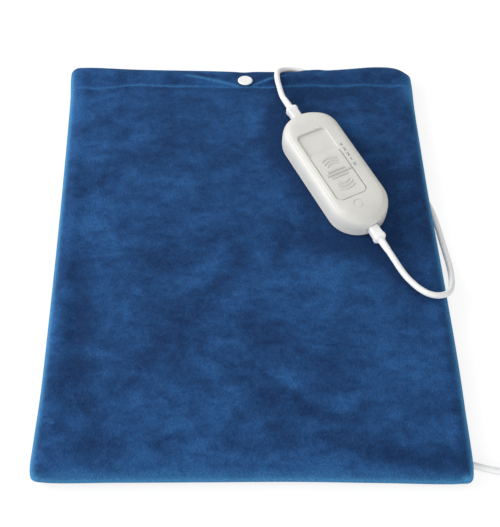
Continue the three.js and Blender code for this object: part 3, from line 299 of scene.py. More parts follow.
def grid_faces(rows: int, columns: int) -> List[List[int]]:
    """Faces of a grid of vertices that are numbered row by row."""
    return [[a, a + 1, a + columns + 1, a + columns]
            for r in range(rows - 1) for a in range(r * columns, (r + 1) * columns - 1)]


def grid_rim(rows: int, columns: int) -> List[int]:
    """Numbers of a grid's outer vertices, once round."""
    last = (rows - 1) * columns
    return (list(range(columns)) + [r * columns + columns - 1 for r in range(1, rows)]
            + list(range(last + columns - 2, last - 1, -1)) + list(range(last - columns, 0, -columns)))


def circle(radius: float, count: int) -> np.ndarray:
    """Points of a circle, as rows of x and y."""
    angle = np.linspace(0, 2 * math.pi, count, endpoint=False)
    return radius * np.column_stack([np.cos(angle), np.sin(angle)])


def bell(off: np.ndarray) -> np.ndarray:
    """Bell curve of an array: 1 at nought and next to nothing beyond 2."""
    return np.exp(-off ** 2)


def quarter_round(share: np.ndarray) -> np.ndarray:
    """Rise of a quarter circle at shares of its reach."""
    return np.sqrt(1 - (1 - share) ** 2)


def round_corners(length: float, width: float, radius: float, per_corner: int = 12) -> np.ndarray:
    """Outline of a rectangle with round corners, as rows of x and y."""
    rows = []
    for sx, sy, start in ((1, 1, 0), (-1, 1, 90), (-1, -1, 180), (1, -1, 270)):
        for k in range(per_corner + 1):
            a = math.radians(start + 90 * k / per_corner)
            rows.append([sx * (length / 2 - radius) + radius * math.cos(a),
                         sy * (width / 2 - radius) + radius * math.sin(a)])
    return np.array(rows)


def combine(piece: bpy.types.Object, other: bpy.types.Object, operation: str) -> None:
    """Cuts or joins a piece with another one, which goes.

    Args:
        piece: the mesh that is kept.
        other: the mesh that is used up.
        operation: DIFFERENCE or UNION.
    """
    step = piece.modifiers.new("combine", "BOOLEAN")
    step.operation, step.solver, step.object = operation, "EXACT", other
    ready = piece.evaluated_get(bpy.context.evaluated_depsgraph_get())
    mesh = bpy.data.meshes.new_from_object(ready)
    piece.modifiers.clear()
    old, piece.data = piece.data, mesh
    bpy.data.meshes.remove(old)
    bpy.data.objects.remove(other)


# Node groups shared by materials

class Sheet:
    """A node tree with short ways to add nodes and join them."""

    def __init__(self, tree: bpy.types.NodeTree) -> None:
        """Takes the tree that the nodes go into."""
        self.tree = tree

    def add(self, kind: str, inputs: Optional[Dict[object, object]] = None,
            **settings: object) -> bpy.types.Node:
        """Adds a node.

        Args:
            kind: the node's type, without its ShaderNode prefix.
            inputs: values or output sockets, by input name or number.
            settings: the node's own settings.

        Returns:
            The new node.
        """
        node = self.tree.nodes.new(kind if kind.startswith("Node") else "ShaderNode" + kind)
        for key, value in settings.items():
            setattr(node, key, value)
        self.fill(node, inputs or {})
        return node

    def fill(self, node: bpy.types.Node, inputs: Dict[object, object]) -> None:
        """Gives a node's inputs, by name or number, their values or joins them to output sockets."""
        for key, value in inputs.items():
            if isinstance(value, bpy.types.NodeSocket):
                self.tree.links.new(value, node.inputs[key])
            else:
                node.inputs[key].default_value = value

    def math(self, operation: str, *values: object) -> bpy.types.NodeSocket:
        """Adds a math node and returns its output."""
        return self.add("Math", dict(enumerate(values)), operation=operation).outputs[0]

    def ramp(self, value: bpy.types.NodeSocket, low: float, high: float,
             start: float = 0.0, end: float = 1.0) -> bpy.types.NodeSocket:
        """Adds a smooth map from one range to another and returns its output."""
        node = self.add("MapRange", {0: value, 1: low, 2: high, 3: start, 4: end},
                        interpolation_type="SMOOTHSTEP")
        return node.outputs[0]

    def noise(self, place: bpy.types.NodeSocket, scale: object, detail: float = 2.0,
              roughness: float = 0.5, distortion: float = 0.0) -> bpy.types.NodeSocket:
        """Adds a noise texture and returns its factor."""
        node = self.add("TexNoise", {"Vector": place, "Scale": scale, "Detail": detail,
                                     "Roughness": roughness, "Distortion": distortion})
        return node.outputs[0]

    def mix(self, share: object, one: object, two: object, blend: str = "MIX") -> bpy.types.NodeSocket:
        """Adds a mix of two colours and returns it."""
        return self.add("Mix", {0: share, 6: one, 7: two}, data_type="RGBA", blend_type=blend).outputs[2]

    def shaded(self, colour: object, level: bpy.types.NodeSocket) -> bpy.types.NodeSocket:
        """Multiplies a colour by a grey level and returns it."""
        grey = self.add("CombineColor", {0: level, 1: level, 2: level}).outputs[0]
        return self.mix(1.0, colour, grey, "MULTIPLY")

    def painted(self, layer: str) -> bpy.types.NodeSocket:
        """Adds a reader of a painted layer and returns its value."""
        return self.add("Attribute", attribute_name=layer).outputs["Fac"]

    def stretched(self, scale: Point, turn: float = 0.0) -> bpy.types.NodeSocket:
        """Adds object coordinates, scaled by axis, and returns them."""
        place = self.add("TexCoord").outputs["Object"]
        node = self.add("Mapping", {"Vector": place, "Rotation": (0, 0, turn), "Scale": scale})
        return node.outputs[0]


class GroupKit:
    """Builds each shared node group once and hands it out."""

    @staticmethod
    def start(name: str, inputs: Dict[str, object],
              outputs: Dict[str, str]) -> Tuple[Sheet, bpy.types.Node, bpy.types.Node]:
        """Starts a group with its named sockets.

        Args:
            name: the group's name.
            inputs: default values by socket name; four numbers make a colour.
            outputs: kinds of socket by name, Float or Color.

        Returns:
            Its sheet, its input node and its output node.
        """
        tree = bpy.data.node_groups.new(name, "ShaderNodeTree")
        for label, value in inputs.items():
            kind = "NodeSocketColor" if isinstance(value, tuple) else "NodeSocketFloat"
            socket = tree.interface.new_socket(label, in_out="INPUT", socket_type=kind)
            socket.default_value = value
        for label, kind in outputs.items():
            tree.interface.new_socket(label, in_out="OUTPUT", socket_type="NodeSocket" + kind)
        sheet = Sheet(tree)
        return sheet, sheet.add("NodeGroupInput"), sheet.add("NodeGroupOutput")

    @staticmethod
    @lru_cache(maxsize=None)
    def plush_pile() -> bpy.types.NodeTree:
        """Short plush pile: blotches where it lies over, stroke marks and fine tufts, with the pile's lie and
        painted light and shade from the painted tone, and a painted rim sheen at the edges.
        """
        sheet, given, out = GroupKit.start(
            "plush pile", {"Dark": (0, 0, 0, 1), "Middle": (0, 0, 0, 1), "Light": (1, 1, 1, 1),
                   "RimSheen": (1, 1, 1, 1), "LieAndShade": 0.0, "RimSheenShare": 0.0, "Tuft": 620.0},
            {"Colour": "Color", "Height": "Float", "Roughness": "Float"})
        wide = sheet.noise(sheet.stretched((1, 1.1, 1), 0.3), 20.0, 3.0, 0.55, 0.5)
        strokes = sheet.noise(sheet.stretched((0.8, 1.5, 1), -0.1), 62.0, 4.0, 0.62, 0.6)
        spots = sheet.noise(sheet.stretched((1, 1, 1), 0.9), 170.0, 3.0, 0.6, 0.3)
        tone = sheet.math("MULTIPLY_ADD", wide, 0.5, sheet.math("MULTIPLY", strokes, 0.32))
        tone = sheet.math("MULTIPLY_ADD", spots, 0.18, tone)
        tone = sheet.math("MULTIPLY_ADD", tone, 4.2, -1.6)
        # Adds the painted tone: the pile's lie with painted light and painted shade
        tone = sheet.math("MULTIPLY_ADD", given.outputs["LieAndShade"], 0.6, tone)
        low = sheet.mix(sheet.math("MULTIPLY", tone, 2.0), given.outputs["Dark"], given.outputs["Middle"])
        high = sheet.mix(sheet.math("MULTIPLY_ADD", tone, 2.0, -1.0), low, given.outputs["Light"])
        # Painted rim sheen towards the edges
        rim = sheet.mix(given.outputs["RimSheenShare"], high, given.outputs["RimSheen"])
        tuft = sheet.noise(sheet.stretched((1.6, 0.7, 1)), given.outputs["Tuft"], 3.0, 0.65)
        finer = sheet.math("MULTIPLY", given.outputs["Tuft"], 1.7)
        hair = sheet.noise(sheet.stretched((1.9, 0.7, 1)), finer, 2.0, 0.6)
        fine = sheet.math("MULTIPLY_ADD", hair, 0.5, sheet.math("MULTIPLY", tuft, 0.5))
        level = sheet.math("MAXIMUM", sheet.math("MULTIPLY_ADD", fine, 2.5, -0.25), 0.1)
        tint = sheet.add("CombineColor", {0: sheet.math("POWER", level, 1.6), 1: level,
                                          2: sheet.math("POWER", level, 0.65)}).outputs[0]
        sheet.fill(out, {"Colour": sheet.mix(1.0, rim, tint, "MULTIPLY"),
                         "Height": sheet.math("MULTIPLY_ADD", tone, 0.18, fine),
                         "Roughness": sheet.ramp(fine, 0.2, 0.8, 0.98, 0.84)})
        return sheet.tree

    @staticmethod
    @lru_cache(maxsize=None)
    def mould_grain() -> bpy.types.NodeTree:
        """Fine spark-eroded grain of a moulding, with faint clouding and handling marks."""
        sheet, given, out = GroupKit.start(
            "mould grain", {"Colour": (1, 1, 1, 1), "Grain": 2600.0, "Clouding": 0.03, "Roughness": 0.4},
            {"Colour": "Color", "Height": "Float", "Roughness": "Float"})
        place = sheet.stretched((1, 1, 1))
        grain = sheet.noise(place, given.outputs["Grain"], 3.0, 0.6)
        cloud = sheet.noise(place, 55.0, 3.0, 0.55, 0.2)
        marks = sheet.noise(sheet.stretched((1, 3.2, 1), 0.5), 160.0, 4.0, 0.65)
        drift = sheet.ramp(cloud, 0.3, 0.7, -1.0, 1.0)
        level = sheet.math("MULTIPLY_ADD", given.outputs["Clouding"], drift, 1.0)
        rough = sheet.math("MULTIPLY_ADD", sheet.ramp(marks, 0.35, 0.75, -1.0, 1.0), 0.05,
                           given.outputs["Roughness"])
        sheet.fill(out, {"Colour": sheet.shaded(given.outputs["Colour"], level), "Height": grain,
                         "Roughness": rough})
        return sheet.tree

    @staticmethod
    @lru_cache(maxsize=None)
    def drawn_metal() -> bpy.types.NodeTree:
        """Fine lines and faint tarnish of drawn, rolled or plated metal."""
        sheet, given, out = GroupKit.start(
            "drawn metal", {"Colour": (1, 1, 1, 1), "Lines": 900.0, "Tarnish": 0.2, "Roughness": 0.3},
            {"Colour": "Color", "Height": "Float", "Roughness": "Float"})
        lines = sheet.noise(sheet.stretched((1, 9, 2), 0.4), given.outputs["Lines"], 3.0, 0.6)
        stain = sheet.ramp(sheet.noise(sheet.stretched((1, 1, 1)), 240.0, 4.0, 0.6, 0.3), 0.5, 0.75)
        share = sheet.math("MULTIPLY", stain, given.outputs["Tarnish"])
        sheet.fill(out, {"Colour": sheet.mix(share, given.outputs["Colour"], (0.09, 0.07, 0.05, 1)),
                         "Height": lines,
                         "Roughness": sheet.math("MULTIPLY_ADD", share, 0.5, given.outputs["Roughness"])})
        return sheet.tree

    @staticmethod
    @lru_cache(maxsize=None)
    def pressed_fibre() -> bpy.types.NodeTree:
        """Tangled fibres of felt and wadding."""
        sheet, given, out = GroupKit.start(
            "pressed fibre", {"Colour": (1, 1, 1, 1), "Fibre": 600.0, "Depth": 0.12},
            {"Colour": "Color", "Height": "Float"})
        one = sheet.noise(sheet.stretched((1, 5, 1), 0.5), given.outputs["Fibre"], 4.0, 0.6, 0.6)
        two = sheet.noise(sheet.stretched((5, 1, 1), 0.2), given.outputs["Fibre"], 4.0, 0.6, 0.6)
        web = sheet.math("MAXIMUM", one, two)
        level = sheet.math("MULTIPLY_ADD", sheet.ramp(web, 0.4, 0.75, -1.0, 0.4), given.outputs["Depth"], 1.0)
        sheet.fill(out, {"Colour": sheet.shaded(given.outputs["Colour"], level), "Height": web})
        return sheet.tree


# Finishes

@dataclass(frozen=True)
class Finish:
    """What a piece is made of: the record's slot and the colour written there."""

    slot: str
    name: str
    colour: Colour

    def material(self) -> bpy.types.Material:
        """Returns the finish's material, made the first time."""
        known = bpy.data.materials.get(self.name)
        if known:
            return known
        made = bpy.data.materials.new(self.name)
        made.use_nodes = True
        made.diffuse_color = linear(self.colour)
        self.dress(Sheet(made.node_tree), made.node_tree.nodes["Principled BSDF"])
        return made

    def dress(self, sheet: Sheet, shader: bpy.types.Node) -> None:
        """Adds the finish's nodes. Each kind of finish has its own way."""
        raise NotImplementedError

    def bump(self, sheet: Sheet, shader: bpy.types.Node, height: bpy.types.NodeSocket,
             strength: float, depth: float) -> None:
        """Joins a height to the shader's normal.

        Args:
            sheet: the material's nodes.
            shader: its Principled BSDF.
            height: the height's socket.
            strength: the bump's strength.
            depth: the relief in millimetres.
        """
        node = sheet.add("Bump", {"Height": height, "Strength": strength, "Distance": depth * MM})
        sheet.tree.links.new(node.outputs[0], shader.inputs["Normal"])


@dataclass(frozen=True)
class Plush(Finish):
    """Short plush pile: darker and lighter by random tone, by the pile's lie and by painted shade and painted
    highlight, with a painted rim sheen at the edges.
    """

    dark: Colour = (23, 51, 92)
    light: Colour = (41, 87, 141)
    # Colour of the painted rim sheen along the cover's edges
    rim_sheen: Colour = (72, 140, 190)
    rim: Colour = (96, 160, 215)
    sheen: float = 0.4

    def dress(self, sheet: Sheet, shader: bpy.types.Node) -> None:
        """Joins the pile's colours, with their painted light, shade and rim sheen, and its height, and sets
        its sheen.
        """
        pile = sheet.add("Group", {
            "Dark": linear(self.dark), "Middle": linear(self.colour), "Light": linear(self.light),
            "RimSheen": linear(self.rim_sheen), "LieAndShade": sheet.painted("lie"),
            "RimSheenShare": sheet.painted("rim_sheen")}, node_tree=GroupKit.plush_pile())
        sheet.fill(shader, {
            "Base Color": pile.outputs["Colour"], "Roughness": pile.outputs["Roughness"],
            "Specular IOR Level": 0.12, "Sheen Weight": self.sheen, "Sheen Roughness": 0.42,
            "Sheen Tint": linear(self.rim)})
        self.bump(sheet, shader, pile.outputs["Height"], 0.55, 0.9)


@dataclass(frozen=True)
class Moulding(Finish):
    """Moulded plastic or rubber with a fine grain."""

    roughness: float = 0.42
    grain: float = 2600.0
    depth: float = 0.05
    clouding: float = 0.025
    coat: float = 0.0
    through: float = 0.0
    # Strength of the painted shade, read from the painted hollow layer
    hollow_shade: float = 0.0

    def dress(self, sheet: Sheet, shader: bpy.types.Node) -> None:
        """Joins the grain, darkens the colour by the painted shade in the hollows and sets gloss and depth.
        """
        grain = sheet.add("Group", {
            "Colour": linear(self.colour), "Grain": self.grain, "Clouding": self.clouding,
            "Roughness": self.roughness}, node_tree=GroupKit.mould_grain())
        colour = grain.outputs["Colour"]
        # Painted shade: darker in the hollows beside the ridges and in the groove round the rim
        if self.hollow_shade:
            level = sheet.math("MULTIPLY_ADD", sheet.painted("hollow"), -self.hollow_shade, 1.0)
            colour = sheet.add("VectorMath", {0: colour, "Scale": level}, operation="SCALE").outputs[0]
        sheet.fill(shader, {
            "Base Color": colour, "Roughness": grain.outputs["Roughness"], "IOR": 1.48,
            "Coat Weight": self.coat, "Coat Roughness": 0.12})
        if self.through:
            sheet.fill(shader, {"Subsurface Weight": self.through, "Subsurface Radius": (1.0, 0.8, 0.6),
                                "Subsurface Scale": 1.2 * MM})
        self.bump(sheet, shader, grain.outputs["Height"], 0.35, self.depth)


@dataclass(frozen=True)
class Metal(Finish):
    """Drawn, rolled or plated metal."""

    roughness: float = 0.3
    lines: float = 900.0
    tarnish: float = 0.15

    def dress(self, sheet: Sheet, shader: bpy.types.Node) -> None:
        """Joins the drawn lines and sets the metal."""
        drawn = sheet.add("Group", {
            "Colour": linear(self.colour), "Lines": self.lines, "Tarnish": self.tarnish,
            "Roughness": self.roughness}, node_tree=GroupKit.drawn_metal())
        sheet.fill(shader, {"Base Color": drawn.outputs["Colour"], "Roughness": drawn.outputs["Roughness"],
                            "Metallic": 1.0})
        self.bump(sheet, shader, drawn.outputs["Height"], 0.25, 0.03)


@dataclass(frozen=True)
class Fibre(Finish):
    """Felt or wadding."""

    fibre: float = 600.0
    depth: float = 0.12

    def dress(self, sheet: Sheet, shader: bpy.types.Node) -> None:
        """Joins the tangled fibres."""
        web = sheet.add("Group", {"Colour": linear(self.colour), "Fibre": self.fibre,
                                  "Depth": self.depth}, node_tree=GroupKit.pressed_fibre())
        sheet.fill(shader, {"Base Color": web.outputs["Colour"], "Roughness": 0.95, "Sheen Weight": 0.25})
        self.bump(sheet, shader, web.outputs["Height"], 0.6, 0.4)


@dataclass(frozen=True)
class Glass(Finish):
    """Clear glass of the fuse."""

    def dress(self, sheet: Sheet, shader: bpy.types.Node) -> None:
        """Sets clear glass with faint drawing lines."""
        sheet.fill(shader, {"Base Color": linear(self.colour), "Transmission Weight": 0.92,
                            "Metallic": 0.0, "Roughness": 0.04})
        lines = sheet.noise(sheet.stretched((1, 6, 1), 0.4), 700.0, 2.0)
        self.bump(sheet, shader, lines, 0.1, 0.02)


PLUSH = Plush("plush", "brushed plush", (31, 68, 116))
CASING = Moulding("casing", "handset moulding", (221, 220, 214), roughness=0.46, through=0.12)
# The knob's moulding, with painted shade in the hollows beside its ridges and round its rim
KNOB = Moulding("casing", "knob moulding", (221, 220, 214), roughness=0.46, through=0.12, hollow_shade=0.3)
WHITE_PLASTIC = Moulding("white_plastic", "white moulding", (249, 249, 248), roughness=0.36, through=0.1)
SHEATH = Moulding("white_cord", "lead sheath", (247, 247, 246), roughness=0.4, grain=1500.0, depth=0.04)
BLACK_PLASTIC = Moulding("black_plastic", "black moulding", (22, 22, 24), roughness=0.45, depth=0.06)
BOARD = Moulding("board_green", "board laminate", (38, 104, 66), roughness=0.3, grain=900.0, clouding=0.08)
TERMINAL = Moulding("terminal_green", "terminal moulding", (36, 112, 62), roughness=0.4, clouding=0.05)
AMBER = Moulding("amber_plastic", "dipped capacitor", (196, 140, 44), roughness=0.2, coat=0.6, clouding=0.08)
RED = Moulding("red_plastic", "red lamp", (178, 46, 38), roughness=0.15, coat=0.5, through=0.3)
LENS = Moulding("lens_plastic", "frosted lens", (222, 221, 216), roughness=0.34, coat=0.2, through=0.4)
INSULATION = Moulding("core_insulation", "core insulation", (40, 52, 120), roughness=0.4, grain=1800.0)
COPPER = Metal("copper", "drawn copper", (196, 122, 74), roughness=0.28)
BRASS = Metal("brass", "spring brass", (204, 168, 88), roughness=0.3)
STEEL = Metal("steel", "zinc steel", (188, 190, 193), roughness=0.32, tarnish=0.2)
NICKEL = Metal("nickel_plate", "nickel plate", (206, 202, 196), roughness=0.16, tarnish=0.08)
FELT = Fibre("felt", "heater felt", (233, 231, 224))
WADDING = Fibre("wadding", "soft wadding", (243, 241, 236), fibre=320.0, depth=0.18)
GLASS = Glass("clear_glass", "fuse glass", (224, 233, 236))
MARK_GREY = Moulding("black_plastic", "scale print", (88, 93, 104), roughness=0.6, depth=0.01)
MARK_BLUE = Moulding("black_plastic", "scale print soft", (124, 134, 154), roughness=0.6, depth=0.01)

CARRIED: Dict[Finish, Tuple[str, ...]] = {
    FELT: ("heater_bottom_sheet", "heater_top_sheet", "heater_edge_band"),
    WADDING: ("heater_wadding",),
    COPPER: ("heating_wire",),
    BLACK_PLASTIC: ("thermal_cutout_1", "thermal_cutout_2", "slider_carriage", "power_triac",
                    "pin_sleeve_1", "pin_sleeve_2"),
    WHITE_PLASTIC: ("heater_lead_gland", "snap_socket", "snap_stud", "coil_tie"),
    BRASS: ("contact_spring_1", "contact_spring_2"),
    STEEL: ("detent_spring", "casing_screw_1", "casing_screw_2", "casing_screw_3", "casing_screw_4"),
    BOARD: ("circuit_board",),
    GLASS: ("glass_fuse",),
    AMBER: ("film_capacitor",),
    RED: ("indicator_led",),
    TERMINAL: ("mains_terminal_block", "pad_terminal_block"),
    INSULATION: ("mains_core_1", "mains_core_2", "pad_core_1", "pad_core_2"),
    NICKEL: ("plug_pin_1", "plug_pin_2"),
}


# Studio

@dataclass
class Studio:
    """Camera, floor, world and lamps."""

    place: Point = (-22.2, -422.37, 674.49)
    yaw: float = 0.0585
    pitch: float = 1.02163
    roll: float = 0.04612
    lens: float = 64.93
    sensor: float = 36.0
    floor_half: float = 4000.0
    floor_lines: int = 9
    floor_level: float = -0.05
    sky: float = 0.54
    back_place: Point = (-1.1, 0.9, 0.9)
    back: float = 7.0
    key_place: Point = (-1.6, 0.2, 0.75)
    key: float = 20.0
    fill_place: Point = (0.3, -1.6, 0.5)
    fill: float = 10.0
    lamp_side: float = 1.0
    lamp_aim: Point = (0.02, 0.0, 0.0)
    floor_tone: float = 0.31
    floor_glow: float = 0.77

    def camera(self) -> None:
        """Sets up the camera at the photograph's viewing angle."""
        yaw, pitch, roll = self.yaw, self.pitch, self.roll
        ahead = Vector((math.sin(yaw) * math.cos(pitch), math.cos(yaw) * math.cos(pitch), -math.sin(pitch)))
        right = Vector((math.cos(yaw), -math.sin(yaw), 0))
        up = right.cross(ahead)
        right, up = (right * math.cos(roll) + up * math.sin(roll),
                     up * math.cos(roll) - right * math.sin(roll))
        data = bpy.data.cameras.new("camera")
        data.lens, data.sensor_width, data.sensor_fit = self.lens, self.sensor, "AUTO"
        data.clip_start, data.clip_end = 0.01, 50.0
        camera = bpy.data.objects.new("camera", data)
        turn = Matrix((right, up, -ahead)).transposed().to_4x4()
        camera.matrix_world = Matrix.Translation(Vector(self.place) * MM) @ turn
        bpy.context.scene.collection.objects.link(camera)
        bpy.context.scene.camera = camera

    def floor(self) -> None:
        """Lays the white floor, which shows plain white to the camera and keeps the shadows."""
        steps = np.linspace(-self.floor_half, self.floor_half, self.floor_lines)
        rows = [[x, y, self.floor_level] for y in steps for x in steps]
        floor = make_object("floor", np.array(rows), grid_faces(self.floor_lines, self.floor_lines))
        made = bpy.data.materials.new("studio floor")
        made.use_nodes = True
        sheet = Sheet(made.node_tree)
        shader = made.node_tree.nodes["Principled BSDF"]
        sheet.fill(shader, {"Base Color": (self.floor_tone,) * 3 + (1,), "Roughness": 0.9,
                            "Specular IOR Level": 0.0, "Emission Color": (1, 1, 1, 1)})
        rays = sheet.add("LightPath")
        seen = sheet.math("MAXIMUM", rays.outputs["Is Camera Ray"],
                          sheet.math("MAXIMUM", rays.outputs["Is Glossy Ray"],
                                     rays.outputs["Is Transmission Ray"]))
        sheet.fill(shader, {"Emission Strength": sheet.math("MULTIPLY", seen, self.floor_glow)})
        floor.data.materials.append(made)
        floor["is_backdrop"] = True

    def world(self) -> None:
        """Makes the world soft and plain, and white where the camera sees it."""
        world = bpy.data.worlds.new("studio")
        bpy.context.scene.world = world
        world.use_nodes = True
        sheet = Sheet(world.node_tree)
        rays = sheet.add("LightPath")
        seen = sheet.math("MAXIMUM", rays.outputs["Is Camera Ray"], rays.outputs["Is Transmission Ray"])
        strength = sheet.add("MapRange", {0: seen, 3: self.sky, 4: 1.0}).outputs[0]
        back = world.node_tree.nodes["Background"]
        sheet.fill(back, {"Color": (1, 1, 1, 1), "Strength": strength})

    def lamp(self, name: str, place: Point, power: float) -> None:
        """Adds a square soft lamp that points at the pad.

        Args:
            name: the lamp's name.
            place: where it is, in metres.
            power: its power in watts.
        """
        data = bpy.data.lights.new(name, "AREA")
        data.size, data.energy = self.lamp_side, power
        lamp = bpy.data.objects.new(name, data)
        aim = (Vector(self.lamp_aim) - Vector(place)).to_track_quat("-Z", "Y")
        lamp.matrix_world = Matrix.Translation(Vector(place)) @ aim.to_matrix().to_4x4()
        bpy.context.scene.collection.objects.link(lamp)

    def build(self) -> None:
        """Builds the whole studio and sets the plain view transform."""
        bpy.context.scene.view_settings.view_transform = "Standard"
        self.camera()
        self.world()
        self.floor()
        self.lamp("key lamp", self.key_place, self.key)
        self.lamp("fill lamp", self.fill_place, self.fill)
        self.lamp("back lamp", self.back_place, self.back)


# Leads

PAD_LEAD_ROUTE: Tuple[Point, ...] = (
    (35.4, 145.5, 25.8), (33.9, 148.6, 25.75), (32.8, 153.6, 24.7), (31.9, 161, 22.4), (31.3, 166.3, 21.1),
    (30.6, 171.6, 20), (30.1, 177, 19.2), (30.1, 182.4, 18.1), (30.8, 187.4, 16), (32.8, 191.7, 13.4),
    (36.3, 195, 11), (41.1, 197, 9.3), (46.5, 197.5, 8.6), (51.9, 196.4, 8.6), (56.9, 194.2, 8.6),
    (61.6, 191.2, 8.6), (65.6, 187.6, 8.7), (68, 182.6, 9), (68.2, 177, 9))
MAINS_LEAD_ROUTE: Tuple[Point, ...] = (
    (113.2, -13.9, 25.8), (115, -17.6, 25.75), (118.2, -22.9, 24.2), (122.1, -28.5, 21.6),
    (127.2, -35.4, 19.3), (133, -42.2, 18.6), (137.2, -46.4, 18.6), (142.1, -49.8, 18.5),
    (147.7, -51.4, 17.8), (153.5, -51, 16.6), (158.6, -48.6, 14.9), (162.3, -44.6, 12.6),
    (164.6, -39.7, 10.2), (166.2, -34.6, 7.7), (167.2, -29.1, 5.6), (167.8, -23.4, 4), (167.8, -17.6, 3),
    (167.4, -11.7, 2.6), (165.8, 0.1, 2.6), (164.2, 11.9, 2.6), (162.6, 23.7, 2.6), (160.5, 35.4, 2.6),
    (157.3, 46.8, 2.6), (152, 57.5, 2.6), (144.4, 65.6, 2.6), (135.4, 70.4, 2.6), (124.9, 71.6, 2.6),
    (114.9, 67.6, 2.6), (107.5, 58.6, 2.6), (104.1, 46, 2.6), (103.3, 20, 2.6), (104.2, -40, 2.6),
    (105.8, -95, 2.6), (109.5, -124, 2.6), (117.5, -148, 2.6), (130.5, -167, 2.6), (148, -180.5, 2.6),
    (168, -188.6, 2.6), (190, -193.4, 2.8), (212, -195.8, 3.5), (230, -195.8, 3.75))
PLUG_LEAD_ROUTE: Tuple[Point, ...] = (
    (277.2, -150.1, 9.4), (276.8, -142.4, 8.8), (274.4, -135.2, 7.4), (271.7, -128.1, 5.7),
    (268.8, -121.1, 4.1), (264.5, -114.7, 3.3), (258.9, -109.4, 3.3), (252.9, -104.5, 4.1),
    (247.3, -99, 5.6), (243.6, -91, 6.75), (243, -84.6, 6.85))


@dataclass
class Leads:
    """Both leads: the one to the heater, and the mains lead with its coil, up to the plug."""

    diameter: float = 5.1
    coil_middle: Tuple[float, float] = (235.5, -155.5)
    coil_outer: float = 40.3
    pitch: float = 5.65
    rise: float = 5.65
    lower: float = 3.75
    turns_in: float = 3.5
    turns_out: float = 3.75
    climb: float = 0.5
    tunnel_from: int = 16
    steps_per_turn: int = 72

    def coil(self) -> np.ndarray:
        """Returns the coil's points: a spiral in below and a spiral out above."""
        total = self.turns_in + self.turns_out
        turn = np.linspace(0, total, int(total * self.steps_per_turn) + 1)
        inner = self.coil_outer - self.pitch * self.turns_in
        radius = inner + self.pitch * np.abs(turn - self.turns_in)
        angle = 2 * math.pi * turn - math.pi / 2
        climbing = np.clip((turn - self.turns_in) / self.climb + 0.5, 0, 1)
        x, y = self.coil_middle
        return np.column_stack([x + radius * np.cos(angle), y + radius * np.sin(angle),
                                self.lower + self.rise * climbing])

    def mains_line(self) -> np.ndarray:
        """Returns the whole mains lead's middle line, from the handset to the plug."""
        return np.vstack([route(MAINS_LEAD_ROUTE, 2.0), self.coil(), route(PLUG_LEAD_ROUTE, 2.0)])

    def pad_line(self) -> np.ndarray:
        """Returns the pad lead's middle line."""
        return route(PAD_LEAD_ROUTE, 1.5)

    def curve(self, name: str, line: np.ndarray) -> bpy.types.Object:
        """Makes one round lead along a line.

        Args:
            name: the piece's name.
            line: the middle line in millimetres.

        Returns:
            The curve object.
        """
        data = bpy.data.curves.new(name, "CURVE")
        data.dimensions = "3D"
        data.bevel_depth = self.diameter / 2 * MM
        data.bevel_resolution = 7
        data.use_fill_caps = True
        spline = data.splines.new("POLY")
        spline.points.add(len(line) - 1)
        spline.points.foreach_set("co", np.hstack([line * MM, np.ones((len(line), 1))]).ravel())
        spline.use_smooth = True
        piece = bpy.data.objects.new(name, data)
        bpy.context.scene.collection.objects.link(piece)
        return piece

    def build(self, plug_pieces: Sequence[object]) -> None:
        """Args:
            plug_pieces: the plug's pieces and the tie, which go with the mains lead; not used.
        """
        line = self.pad_line()
        lead = settle(self.curve("pad_lead_sheath", line), SHEATH, Body.CARRIER, "pad_lead")
        line = self.mains_line()
        lead = settle(self.curve("mains_lead_sheath", line), SHEATH, Body.CARRIER,
                      "mains_lead", "mains_coil", "plug_lead")


